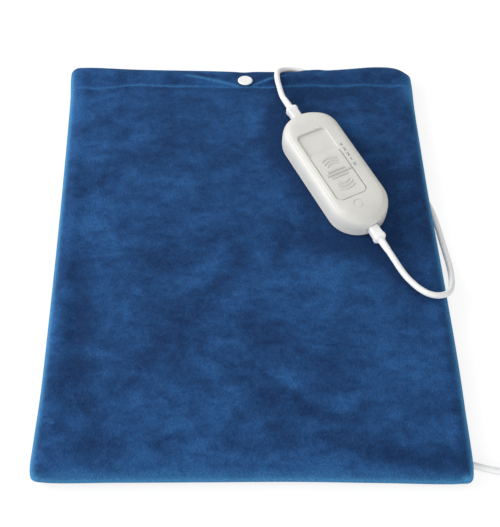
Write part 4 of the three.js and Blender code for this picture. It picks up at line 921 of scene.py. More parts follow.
@dataclass
class FlatPlug:
    """The flat moulded plug with its ribbed relief."""

    across: float = 243.0
    height: float = 6.85
    rear: float = -66.0
    width: float = 35.3
    thickness: float = 13.7
    length: float = 36.0
    corner: float = 5.5
    relief_length: float = 18.0
    relief_radius: float = 4.2
    cord_radius: float = 2.85
    ribs: int = 4
    groove: float = 0.55
    grooved: Tuple[float, float] = (0.06, 0.96)
    edge: float = 0.9
    roundest_share: float = 0.46
    swell_shares: Tuple[Tuple[float, float, float], ...] = (
        (0.0, 0.48, 0.73), (0.18, 0.72, 0.86), (0.42, 0.86, 0.94), (0.62, 0.95, 0.985), (0.78, 1.0, 1.0),
        (1.0, 1.0, 1.0))

    def ring(self, outline: np.ndarray, along: float) -> np.ndarray:
        """Sets an outline of x and z upright, at a place along the plug."""
        return np.column_stack([outline[:, 0] + self.across, np.full(len(outline), along),
                                outline[:, 1] + self.height])

    def body(self) -> bpy.types.Object:
        """Builds the body: a shaped grip behind, a plain block in front."""
        places, widths, heights = zip(*self.swell_shares)
        along = np.linspace(0, 1, 40)
        kernel = np.array([1, 2, 3, 2, 1]) / 9
        wide, thick = (np.convolve(np.pad(np.interp(along, places, shares), 2, "edge"), kernel, "valid")
                       for shares in (widths, heights))
        rings = []
        for share, w, t in zip(along, wide, thick):
            ends = min(share, 1 - share) * self.length
            inset = self.edge - math.sqrt(max(0.0, self.edge ** 2 - (self.edge - min(ends, self.edge)) ** 2))
            across, high = self.width * w - 2 * inset, self.thickness * t - 2 * inset
            outline = round_corners(across, high, min(self.corner, high * self.roundest_share), 10)
            rings.append(self.ring(outline, self.rear + share * self.length))
        return make_object("plug_grip", *loft(rings))

    def relief(self) -> bpy.types.Object:
        """Builds the tapered relief with its rings."""
        start = self.rear - 0.3 - self.relief_length
        first, last = self.grooved
        rings = []
        for share in np.linspace(0, 1, 91):
            radius = self.cord_radius + (self.relief_radius - self.cord_radius) * share
            wave = 0.5 - 0.5 * math.cos(2 * math.pi * share * self.ribs)
            radius -= self.groove * wave ** 3 if first < share < last else 0.0
            rings.append(self.ring(circle(radius, 48), start + share * self.relief_length))
        return make_object("plug_grip_relief", *loft(rings))

    def build(self) -> List[object]:
        """Builds the plug and returns what goes with the mains lead."""
        body = settle(self.body(), WHITE_PLASTIC, Body.CARRIER, "plug_body")
        relief = settle(self.relief(), WHITE_PLASTIC, Body.CARRIER, "plug_relief")
        nodes = ("plug_pin_1", "plug_pin_2", "pin_sleeve_1", "pin_sleeve_2", "coil_tie")
        return [body, relief] + [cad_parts[n] for n in nodes]


# Plush cover

@dataclass
class PlushCover:
    """The plush cover's two panels, padded by a short cloth simulation."""

    width: float = 320.0
    length: float = 400.0
    height: float = 16.0
    seam: float = 8.0
    side_seam: float = 5.6
    foot_seams: Tuple[float, float] = (6.4, 4.4)
    hem_seams: Tuple[Tuple[float, float], ...] = ((-158, 5.6), (-95, 6.6), (-30, 8), (115, 8), (158, 6.2))
    seam_gap: float = 0.15
    edge: float = 14.0
    crown: float = 0.8
    pile: float = 1.3
    pile_more: Tuple[float, float, float] = (0.7, 0.9, 0.6)
    hem_line: Tuple[Tuple[float, float], ...] = (
        (-160, 169.2), (-143, 169.8), (-121, 171), (-108, 173.4), (-98, 174.2), (-86, 173.2), (-66, 172.3),
        (-33, 172.3), (0, 171.6), (22, 171.4), (44, 172.6), (60, 173.8), (77, 172.8), (99, 173.6),
        (111, 174.8), (122, 173.9), (144, 172.8), (160, 172.4))
    hem_middle: float = 172.4
    hem_width: float = 0.8
    hem_depth: float = 0.5
    stitch_pitch: float = 3.2
    middle_ends: Tuple[float, float] = (-197.5, 193.5)
    stud: Tuple[float, float] = (0.8, 178.4)
    stud_face: float = 14.0
    stud_reach: float = 21.0
    stud_tilt: float = 13.0
    handset_middle: Tuple[float, float] = (74.3, 65.8)
    handset_turn: float = -64.0
    handset_half: Tuple[float, float] = (64.25, 26.0)
    lead_radius: float = 2.55
    lead_mouth: float = 63.0
    lead_gape: float = 3.0
    coarse: Tuple[int, int] = (62, 78)
    fine: Tuple[int, int] = (176, 226)
    back_lines: Tuple[int, int] = (150, 186)
    cap: float = 2.2
    cloth: Tuple[Tuple[str, float], ...] = (
        ("quality", 6), ("mass", 0.2), ("tension_stiffness", 12), ("compression_stiffness", 12),
        ("shear_stiffness", 6), ("bending_stiffness", 0.6), ("uniform_pressure_force", 4.0),
        ("shrink_min", -0.018))
    cloth_frames: int = 20
    outline_shares: Tuple[Tuple[float, float], ...] = (
        (-0.988, -0.976), (-0.94, -0.985), (-0.6, -0.988), (-0.2, -0.989), (0.2, -0.989), (0.6, -0.995),
        (0.94, -1), (0.988, -0.993), (0.999, -0.96), (1, -0.72), (1, -0.45), (0.995, -0.22), (0.985, 0.03),
        (0.976, 0.24), (0.97, 0.5), (0.966, 0.75), (0.968, 0.88), (0.962, 0.935), (0.933, 0.962),
        (0.885, 0.979), (0.79, 0.984), (0.59, 0.969), (0.33, 0.952), (0.06, 0.954), (0, 0.95),
        (-0.06, 0.954), (-0.3, 0.959), (-0.62, 0.968), (-0.93, 0.982), (-0.979, 0.977), (-0.996, 0.955),
        (-0.99, 0.8),
        (-0.985, 0.5), (-0.982, 0.1), (-0.983, -0.3), (-0.987, -0.65), (-0.997, -0.85), (-0.999, -0.95))
    folds: Tuple[Tuple[object, ...], ...] = (
        ((-6, 172.8), (-22, 176.8), (-38, 181), (-53, 184.4), 0.9, 2.2),
        ((8, 173.4), (14, 176), (25, 180.6), (37, 185), 0.9, 2.2),
        ((-154, 148), (-142, 153), (-128, 161), (-112, 168), 0.8, 4.5),
        ((150, 150), (138, 158), (120, 164), (98, 167), 0.7, 4.5),
        ((153, 120), (140, 112), (124, 108), (108, 108), 0.6, 5.0),
        ((-155, 96), (-140, 92), (-124, 92), (-108, 95), 0.6, 5.0),
        ((153, -190), (138, -181), (118, -174), (98, -176), 1.2, 5.0),
        ((-151, -186), (-140, -176), (-128, -166), (-118, -154), 0.7, 5.5),
        ((12, -126), (28, -136), (50, -145), (72, -149), 0.8, 5.5),
        ((-120, -50), (-122, -85), (-117, -115), (-104, -140), 0.9, 7.0))
    # Patches of tone as x, y, reach across, reach along, turn and value: partly the lie of the pile, partly
    # painted light and painted shade
    brushed_and_shaded: Tuple[Tuple[float, ...], ...] = (
        (125, 95, 42, 95, 0, -0.6), (36, 128, 16, 48, -20, -0.5), (118, 20, 26, 40, 20, -0.4),
        (80, 2, 40, 16, -25, -0.6), (70, 160, 75, 16, 0, -0.35), (-148, 150, 18, 34, 0, 0.42),
        (-125, 165, 22, 14, 0, 0.3), (-110, 70, 22, 30, 0, 0.0), (-142, 5, 16, 36, 0, 0.25),
        (45, -32, 42, 12, 0, 0.2), (-110, -48, 14, 26, 8, 0.28), (-131, -85, 9, 50, 2, -0.8),
        (-112, -95, 9, 50, 4, 0.3), (140, -135, 24, 34, 0, 0.5), (134, -50, 18, 16, 0, -0.6),
        (-128, -158, 22, 14, 30, 0.3), (0, -186, 130, 8, 0, 0.5), (-45, -196, 130, 5, 0, 0.8),
        (116, -184, 36, 9, -10, -1.2), (42, -146, 34, 8, -24, -0.8), (20, 183, 60, 8, 0, -0.2),
        (-30, 60, 60, 40, 20, -0.08), (20, -105, 75, 50, 0, -0.28), (15, -78, 45, 12, 0, -0.3),
        (152, 168, 9, 20, 0, 1.0), (155, 125, 5, 60, 0, 0.5), (95, 172, 22, 8, 0, -0.4),
        (0, 130, 25, 18, 0, -0.3), (-100, 112, 22, 12, 0, -0.4), (-85, 50, 40, 14, 0, -0.3),
        (98, -14, 28, 12, -15, -0.7), (-80, -8, 22, 10, 0, 0.35), (40, 42, 14, 24, -26, -0.5),
        (-50, 190, 40, 6, 0, 0.3), (-112, -140, 12, 6, 15, -0.5))
    # Painted highlight at the hem's right corner: x, y, reach across, reach along and strength
    corner_sheen: Tuple[float, ...] = (153, 165, 6, 14, 0.45)
    # Strokes along the folds, as points, value and spread: above nought painted highlight, below nought
    # painted shade
    strokes: Tuple[Tuple[object, ...], ...] = (
        ((-6, 172.8), (-22, 176.9), (-38, 181.2), (-53, 184.8), 1.2, 1.2),
        ((8, 173.4), (14, 176.2), (25, 180.8), (37, 185), 1.0, 1.2),
        ((-7, 179), (-22, 182), (-38, 186), (-52, 189.5), -1.0, 2.8),
        ((8, 180), (15, 182.5), (25, 186), (35, 189.5), -1.0, 2.8),
        ((-153, 146), (-141, 151), (-126, 158), (-112, 165), 0.5, 2.5),
        ((-150, 158), (-138, 158), (-126, 157), (-114, 158), -0.5, 4.0),
        ((110, 98), (122, 97), (134, 98), (146, 101), -0.3, 2.0),
        ((-140, 96), (-128, 95), (-118, 95), (-108, 97), -0.6, 3.0))
    leads: Leads = field(default_factory=Leads)

    def outline(self) -> np.ndarray:
        """Returns the cover's outline, evenly spaced, as rows of x and y."""
        shares = list(self.outline_shares)
        looped = shares[-3:] + shares + shares[:3]
        line = flat_route(looped, 0.004)[:, :2]
        far = np.linalg.norm(line - shares[0], axis=1)
        half = len(line) // 2
        line = line[int(np.argmin(far[:half])):half + int(np.argmin(far[half:]))]
        low, high = line.min(0), line.max(0)
        line = (line - (low + high) / 2) / (high - low) * (self.width, self.length)
        line = evenly(np.vstack([line, line[:1]]), 1.0)[:-1]
        way = np.roll(line, -2, axis=0) - np.roll(line, 2, axis=0)
        way /= np.linalg.norm(way, axis=1)[:, None]
        out = np.column_stack([way[:, 1], -way[:, 0]])
        x, y = line.T
        right, lower_right, foot = self.pile_more
        to_right, to_foot, to_hem = out[:, 0].clip(0), -out[:, 1].clip(None, 0), out[:, 1]
        proud = self.pile + right * (x > 0) * to_right
        proud += lower_right * smooth(40, 140, -y) * to_right
        proud += foot * smooth(-60, 130, x) * to_foot
        proud *= 1 - smooth(0.1, 0.8, to_hem)
        return line + out * proud[:, None]

    def seam_height(self, flat: np.ndarray) -> np.ndarray:
        """Height of the seam between the panels: lower at the sides and the foot than at the hem."""
        x, y = flat.T
        foot = np.interp(x, (-150, 150), self.foot_seams)
        low = self.side_seam + (foot - self.side_seam) * smooth(120, 185, -y)
        hem = np.interp(x, *zip(*self.hem_seams))
        return low + (hem - low) * smooth(130, 178, y)

    def sides(self) -> List[np.ndarray]:
        """Returns the bottom, right, top and left sides of the outline, each from low to high."""
        line = self.outline()
        corner = [int(np.argmax(line @ np.array([sx / self.width, sy / self.length])))
                  for sx, sy in ((-1, -1), (1, -1), (1, 1), (-1, 1))]
        line = np.roll(line, -corner[0], axis=0)
        marks = [(c - corner[0]) % len(line) for c in corner] + [len(line)]
        line = np.vstack([line, line[:1]])
        parts = [line[marks[k]:marks[k + 1] + 1] for k in range(4)]
        return [parts[0], parts[1], parts[2][::-1], parts[3][::-1]]

    def places(self, s: np.ndarray, t: np.ndarray) -> np.ndarray:
        """Maps shares across and along to places on the cover.

        Args:
            s: shares across, from the left to the right side.
            t: shares along, from the foot to the hem.

        Returns:
            An array by row and column of x and y.
        """
        def at(side: np.ndarray, share: np.ndarray) -> np.ndarray:
            along = walked(side)
            return np.stack([np.interp(share * along[-1], along, side[:, k]) for k in range(2)], axis=-1)

        bottom, right, top, left = self.sides()
        b, u, r, f = at(bottom, s), at(top, s), at(right, t), at(left, t)
        ss, tt = s[None, :, None], t[:, None, None]
        patch = (1 - tt) * b[None] + tt * u[None] + (1 - ss) * f[:, None] + ss * r[:, None]
        corners = ((1 - ss) * (1 - tt) * bottom[0] + ss * (1 - tt) * bottom[-1]
                   + (1 - ss) * tt * top[0] + ss * tt * top[-1])
        return patch - corners

    def shares(self, count: int, margin: float, dense: Sequence[float] = ()) -> np.ndarray:
        """Spaces grid lines, closer near both ends and near chosen places.

        Args:
            count: how many lines.
            margin: share of the side where lines are closer.
            dense: shares that lines crowd round.

        Returns:
            The lines' shares from 0 to 1.
        """
        at = np.linspace(0, 1, 2001)
        weight = 1 + 2.2 * bell(at / margin) + 2.2 * bell((1 - at) / margin)
        for middle in dense:
            weight += 4.5 * bell((at - middle) / 0.008)
        total = np.concatenate([[0], np.cumsum((weight[1:] + weight[:-1]) / 2)])
        return np.interp(np.linspace(0, total[-1], count), total, at)

    def edge_distance(self, flat: np.ndarray) -> np.ndarray:
        """Distance of each place from the outline."""
        line = self.outline()
        loop = np.vstack([line[::2], line[:1]])
        far, _ = nearest(flat, np.column_stack([loop, np.zeros(len(loop))]))
        return np.minimum(far, REACH)

    def handset_distance(self, flat: np.ndarray) -> np.ndarray:
        """Distance of each place from the handset's footprint, negative inside it."""
        turn = math.radians(self.handset_turn)
        off = flat - self.handset_middle
        u = off @ (math.cos(turn), math.sin(turn))
        v = off @ (-math.sin(turn), math.cos(turn))
        straight = self.handset_half[0] - self.handset_half[1]
        return np.hypot(np.maximum(np.abs(u) - straight, 0), v) - self.handset_half[1]

    def swollen(self) -> Callable[[np.ndarray, np.ndarray], np.ndarray]:
        """Runs the cloth simulation on a coarse front panel.

        Returns:
            A function that gives the simulated rise at shares across and along.
        """
        nx, ny = self.coarse
        s, t = np.linspace(0, 1, nx), np.linspace(0, 1, ny)
        flat = self.places(s, t).reshape(-1, 2)
        distance = self.edge_distance(flat)
        share = np.clip(distance / self.edge, 0, 1)
        top = self.seam + (self.height - 1.2 - self.seam) * quarter_round(share)
        upper = np.column_stack([flat, top])
        lower = np.column_stack([flat, np.full(len(flat), self.seam - 1.0)])
        count, rim = nx * ny, grid_rim(ny, nx)
        faces = []
        for quad in grid_faces(ny, nx):
            faces += [quad, [count + k for k in reversed(quad)]]
        faces += [[a, count + a, count + b, b] for a, b in zip(rim, rim[1:] + rim[:1])]
        cloth = make_object("cover_simulation", np.vstack([upper, lower]), faces)
        pins = cloth.vertex_groups.new(name="held")
        pins.add(list(range(count, 2 * count)) + rim, 1.0, "REPLACE")
        step = cloth.modifiers.new("cloth", "CLOTH")
        for name, value in self.cloth:
            setattr(step.settings, name, value)
        step.settings.vertex_group_mass = "held"
        step.settings.use_pressure = True
        step.settings.effector_weights.gravity = 0.0
        step.point_cache.frame_start, step.point_cache.frame_end = 1, self.cloth_frames
        for number in range(1, self.cloth_frames + 1):
            bpy.context.scene.frame_set(number)
        ready = cloth.evaluated_get(bpy.context.evaluated_depsgraph_get())
        places = np.empty(len(ready.data.vertices) * 3)
        ready.data.vertices.foreach_get("co", places)
        rise = places.reshape(-1, 3)[:count, 2] / MM - top
        bpy.context.scene.frame_set(1)
        bpy.data.objects.remove(cloth)
        rise = np.nan_to_num(rise).reshape(ny, nx)
        inside = smooth(6, 22, distance).reshape(ny, nx)
        middle = np.average(rise, weights=inside + 1e-6)
        waves = (rise - middle) * inside
        limit = np.percentile(np.abs(waves), 98) + 1e-6
        waves = np.clip(waves / limit, -1, 1) * self.cap
        log.info("cloth simulation: mean rise %.2f mm, waves up to %.2f mm", middle, limit)

        def give(across: np.ndarray, along: np.ndarray) -> np.ndarray:
            rows = np.stack([np.interp(across, s, row) for row in waves])
            return np.stack([np.interp(along, t, rows[:, k]) for k in range(rows.shape[1])], axis=1)

        return give

    def creases(self, flat: np.ndarray, edge: np.ndarray) -> np.ndarray:
        """Folds that the stud and the corners pull in the plush, as changes in height.

        Args:
            flat: places as rows of x and y.
            edge: their distance from the outline.

        Returns:
            The change of each place's height.
        """
        change = np.zeros(len(flat))
        for *points, depth, spread in self.folds:
            far, ends = from_stroke(flat, points)
            fade = smooth(-4, 18, ends) * 0.75 + 0.25
            change += depth * bell(far / spread) * fade
            change -= 0.55 * depth * bell((far - 2.1 * spread) / (1.3 * spread)) * fade
        return change * smooth(0, 7, edge)

    def from_hem_line(self, flat: np.ndarray) -> np.ndarray:
        """Distance of each place above the hem's sewn line."""
        line = flat_route(self.hem_line)
        return flat[:, 1] - np.interp(flat[:, 0], line[:, 0], line[:, 1])

    def stitch(self, flat: np.ndarray) -> np.ndarray:
        """Depth of the hem's sewn line, drawn together at each stitch."""
        off = self.from_hem_line(flat) / self.hem_width
        beads = 0.8 + 0.2 * np.cos(2 * math.pi * flat[:, 0] / self.stitch_pitch)
        inside = smooth(1, 6, 160 - np.abs(flat[:, 0]))
        welt = 0.45 * bell((off - 1.6) / 1.2)
        return (-self.hem_depth * bell((off + 1.6) / 1.8) * beads + welt) * inside

    def lie(self, flat: np.ndarray) -> np.ndarray:
        """Tone of the pile, partly its lie and partly painted light and shade: above nought it is lighter,
        below nought darker.

        Args:
            flat: places as rows of x and y.

        Returns:
            The tone of each place, from about -1 to 1.
        """
        tone = np.zeros(len(flat))
        # Patches of tone: partly the lie of the pile, partly painted light and painted shade
        for x, y, reach_x, reach_y, turn, value in self.brushed_and_shaded:
            a = math.radians(turn)
            off = flat - (x, y)
            u = (off @ (math.cos(a), math.sin(a))) / reach_x
            v = (off @ (-math.sin(a), math.cos(a))) / reach_y
            tone += value * np.exp(-(u ** 2 + v ** 2))
        # Painted shadow round the handset
        tone -= 0.8 * bell(np.maximum(self.handset_distance(flat) + 2, 0) / 15)
        # Painted highlight and painted shade along the folds
        for *points, value, spread in self.strokes:
            far, ends = from_stroke(flat, points)
            tone += value * bell(far / spread) * (0.35 + 0.65 * smooth(0, 14, ends))
        # Painted shadow beside the leads where they press into the plush
        for line in (self.leads.pad_line()[:45], route(MAINS_LEAD_ROUTE, 2.0)[:38]):
            far, _ = nearest(flat, line)
            tone -= 0.7 * bell(np.maximum(far - self.lead_radius, 0) / 3.5)
        # A lighter line on the hem's sewn line, partly crushed pile and partly painted highlight, with
        # painted shade below it
        off = self.from_hem_line(flat)
        inside = smooth(0, 4, 161 - np.abs(flat[:, 0]))
        tone += (1.1 * bell(off / 0.9) - 0.35 * bell((off + 4) / 3)) * inside
        return tone

    def rim_sheen(self, flat: np.ndarray, edge: np.ndarray) -> np.ndarray:
        """How much painted rim sheen shows: at the sides, the foot, the right corner, the hem line and the
        folds.
        """
        x, y = flat.T
        # Painted rim sheen along the sides and along the foot's edge
        side = smooth(148, 156, np.abs(x))
        foot = smooth(186, 194, -y) * (0.6 * bell(edge / 1.6) + 0.25 * bell(edge / 5))
        # Narrow at the edge and less near the hem; more on the right side, as painted light over its shade
        side *= (1 - 0.6 * smooth(186, 194, y)) * bell(edge / 3.6) * (1 + 0.3 * (x > 0))
        # Painted highlight at the hem's right corner
        middle_x, middle_y, reach_x, reach_y, value = self.corner_sheen
        side += value * np.exp(-((x - middle_x) / reach_x) ** 2 - ((y - middle_y) / reach_y) ** 2)
        # Lighter along the hem's sewn line, partly crushed pile and partly painted highlight, and painted
        # highlight along the two folds by the stud
        lines = (0.15 + 0.05 * np.sin(x / 19)) * bell(self.from_hem_line(flat) / self.hem_width)
        lines *= smooth(0, 4, 161 - np.abs(x))
        for *points, value, spread in self.strokes[:2]:
            far, _ = from_stroke(flat, points)
            lines = np.maximum(lines, 0.32 * value * bell(far / spread))
        return np.minimum(np.maximum(np.maximum(side, foot), lines), 1)

    def mouth(self, flat: np.ndarray) -> np.ndarray:
        """How far each panel draws back at the hem, where the mouth gapes."""
        x, y = flat.T
        open_share = smooth(176, 194, y) * smooth(0, 26, 158 - np.abs(x))
        slack = 0.85 * smooth(8, 50, np.abs(x - self.stud[0]))
        lead = self.lead_gape * bell(np.maximum(np.abs(x - self.lead_mouth) - 4, 0) / 8) * smooth(168, 186, y)
        return slack * open_share + lead

    def front(self, rise: Callable[[np.ndarray, np.ndarray], np.ndarray]) -> bpy.types.Object:
        """Builds the upper panel.

        Args:
            rise: the simulated rise at shares across and along.

        Returns:
            The panel's object.
        """
        foot, hem = self.middle_ends
        dense = [(y - foot) / (hem - foot) for y in (self.hem_middle, self.stud[1])]
        s = self.shares(self.fine[0], 0.05, (0.5,))
        t = self.shares(self.fine[1], 0.04, dense)
        flat = self.places(s, t).reshape(-1, 2)
        edge = self.edge_distance(flat)
        share = np.clip(edge / self.edge, 0, 1)
        gape = self.mouth(flat)
        low = self.seam_height(flat) + self.seam_gap + gape
        middle = np.hypot(flat[:, 0] / 150, flat[:, 1] / 190)
        plain = self.height - 0.3 - self.crown * np.clip(middle, 0, 1) ** 2
        top = low + (plain - low) * quarter_round(share)
        settled = smooth(8, 24, edge)
        top += rise(s, t).reshape(-1) * settled
        top += self.creases(flat, edge) + self.stitch(flat) * smooth(2, 8, edge)
        off = np.linalg.norm((flat - self.stud) / (1.0, 0.86), axis=1)
        dip = np.minimum(1, off / self.stud_reach)
        seat = self.stud_face - math.tan(math.radians(self.stud_tilt)) * (flat[:, 1] - self.stud[1])
        seat += bell((off - 8.2) / 1.3)
        bowl = seat + (top - seat) * smooth(6.6, self.stud_reach, off) ** 0.8
        top = np.where(dip < 1, np.minimum(top, bowl), top)
        lie = 1 - smooth(-1, 9, self.handset_distance(flat))
        top = top * (1 - lie) + (self.height + self.seam_gap) * lie
        for line in (self.leads.pad_line(), route(MAINS_LEAD_ROUTE, 2.0)[:80]):
            far, height = nearest(flat, line)
            radius = self.lead_radius + self.seam_gap
            below = height - np.sqrt(np.maximum(radius ** 2 - np.minimum(far, radius) ** 2, 0))
            near = 1 - smooth(radius * 0.9, radius * 2.4, far)
            pressed = np.minimum(top, below + np.maximum(far - radius, 0) * 0.9)
            above = height > self.seam + 4.5
            top = np.where(above, top * (1 - near) + pressed * near, top)
        top = np.maximum(top, low)
        piece = self.panel("plush_front", flat, top, low, len(s), len(t), True)
        self.paint(piece, flat, edge, 1.0)
        return piece

    def back(self) -> bpy.types.Object:
        """Builds the lower panel, with the hollow that the mains lead presses into it."""
        across, along = self.back_lines
        s, t = self.shares(across, 0.05), self.shares(along, 0.04)
        flat = self.places(s, t).reshape(-1, 2)
        edge = self.edge_distance(flat)
        share = np.clip(edge / self.edge, 0, 1)
        high = self.seam_height(flat) - self.seam_gap - self.mouth(flat)
        bottom = high * (1 - quarter_round(share))
        wave = 0.25 + 0.25 * np.sin(flat[:, 0] / 17 + 1.3 * np.sin(flat[:, 1] / 23))
        bottom += wave * smooth(8, 20, edge) * smooth(0, 30, 200 - np.abs(flat[:, 1]))
        far, height = nearest(flat, route(MAINS_LEAD_ROUTE[self.leads.tunnel_from:], 2.0))
        radius = self.lead_radius + 0.5
        arch = height + np.sqrt(np.maximum(radius ** 2 - np.minimum(far, radius) ** 2, 0))
        hollow = np.where(far < radius, arch, 0) * (1 - smooth(radius * 0.7, radius * 1.6, far))
        bottom = np.maximum(bottom, np.minimum(hollow, 6.3))
        off = np.linalg.norm(flat - self.stud, axis=1)
        bottom = np.maximum(bottom, 2.9 * (1 - smooth(6.6, 16, off)))
        bottom = np.minimum(bottom, high)
        piece = self.panel("plush_back", flat, bottom, high, len(s), len(t), False)
        self.paint(piece, flat, edge, 0.35)
        return piece

    def paint(self, piece: bpy.types.Object, flat: np.ndarray, edge: np.ndarray, sheen_share: float) -> None:
        """Paints the pile's tone, partly its lie and partly painted light and shade, and the painted rim
        sheen on a panel's outer side.

        Args:
            piece: the panel.
            flat: the outer side's places, its first vertices.
            edge: their distance from the outline.
            sheen_share: share of the painted rim sheen that this panel shows.
        """
        paint_layer(piece, "lie", self.lie(flat))
        paint_layer(piece, "rim_sheen", self.rim_sheen(flat, edge) * sheen_share)

    def panel(self, name: str, flat: np.ndarray, face: np.ndarray, inner: np.ndarray,
              across: int, along: int, upper: bool) -> bpy.types.Object:
        """Closes a panel with an inner side that leaves room for the heater.

        Args:
            name: the piece's name.
            flat: the grid's places.
            face: the outer side's heights.
            inner: the inner side's heights at the rim.
            across: grid lines across.
            along: grid lines along.
            upper: whether it is the upper panel.

        Returns:
            The closed panel.
        """
        vertices = np.column_stack([flat, face])
        faces, rim = grid_faces(along, across), grid_rim(along, across)
        vertices[rim, 2] = inner[rim]
        edge = vertices[rim]
        pocket = 11.0 if upper else 6.2
        pocket_low = self.seam + (self.seam_gap if upper else -self.seam_gap)
        rings = []
        for drawn, level in ((5, 0.0), (12.5, 0.0), (13.2, 1.0), (60, 1.0), (120, 1.0)):
            ring = edge.copy()
            ring[:, 0] *= 1 - drawn / (self.width / 2)
            ring[:, 1] *= 1 - drawn / (self.length / 2)
            gap = edge[:, 2] * (1 - min(1, drawn / 12.5)) + pocket_low * min(1, drawn / 12.5)
            ring[:, 2] = gap * (1 - level) + pocket * level
            rings.append(ring)
        count = len(rim)
        base = len(vertices)
        vertices = np.vstack([vertices] + rings)
        hub = len(vertices)
        vertices = np.vstack([vertices, [[0, 0, rings[-1][:, 2].mean()]]])
        lines = [rim] + [list(range(base + k * count, base + (k + 1) * count)) for k in range(len(rings))]
        for a, b in zip(lines, lines[1:]):
            for i in range(count):
                j = (i + 1) % count
                faces.append([a[i], b[i], b[j], a[j]])
        last = lines[-1]
        faces += [[last[(i + 1) % count], last[i], hub] for i in range(count)]
        return make_object(name, vertices, faces, 70.0)

    def build(self) -> None:
        """Builds and dresses both panels and hides the CAD panels that they replace."""
        front = settle(self.front(self.swollen()), PLUSH, Body.CARRIER, "cover_front_panel")
        back = settle(self.back(), PLUSH, Body.CARRIER, "cover_back_panel")


@dataclass
class StudCaps:
    """The press stud's two white caps."""

    middle: Tuple[float, float] = (0.8, 178.4)
    radius: float = 6.8
    upper_face: float = 14.2
    upper_top: float = 15.9
    tilt: float = 13.0
    lower_face: float = 2.8
    lower_top: float = 0.8
    profile_shares: Tuple[Tuple[float, float], ...] = (
        (0.0, 0.86), (0.3, 0.88), (0.52, 0.93), (0.66, 0.98), (0.74, 1.0), (0.83, 0.97), (0.91, 0.86),
        (0.97, 0.62), (1.0, 0.36), (0.985, 0.12), (0.95, 0.0), (0.2, 0.0))

    def cap(self, name: str, face: float, top: float, tilt: float, node: str) -> None:
        """Turns one cap: a rolled rim, a shallow ring and a flat domed middle.

        Args:
            name: the piece's name.
            face: height of the side that lies on the cloth.
            top: height of the outer side.
            tilt: how many degrees it leans towards the hem.
            node: the CAD node that it replaces.
        """
        at = np.array(self.profile_shares)
        fine = np.linspace(0, len(at) - 1, 67)
        radius = np.interp(fine, range(len(at)), at[:, 0]) * self.radius
        height = face + (top - face) * np.interp(fine, range(len(at)), at[:, 1])
        lean = math.tan(math.radians(tilt))
        rings = []
        for r, h in zip(np.maximum(radius, 0.02), height):
            flat = circle(r, 72)
            rings.append(np.column_stack([flat + self.middle, h - lean * flat[:, 1]]))
        settle(make_object(name, *loft(rings)), WHITE_PLASTIC, Body.CARRIER, node)

    def build(self) -> None:
        """Builds both caps."""
        self.cap("stud_cap_upper", self.upper_face, self.upper_top, self.tilt, "snap_cap_front")
        self.cap("stud_cap_lower", self.lower_face, self.lower_top, 0.0, "snap_cap_back")


# Handset

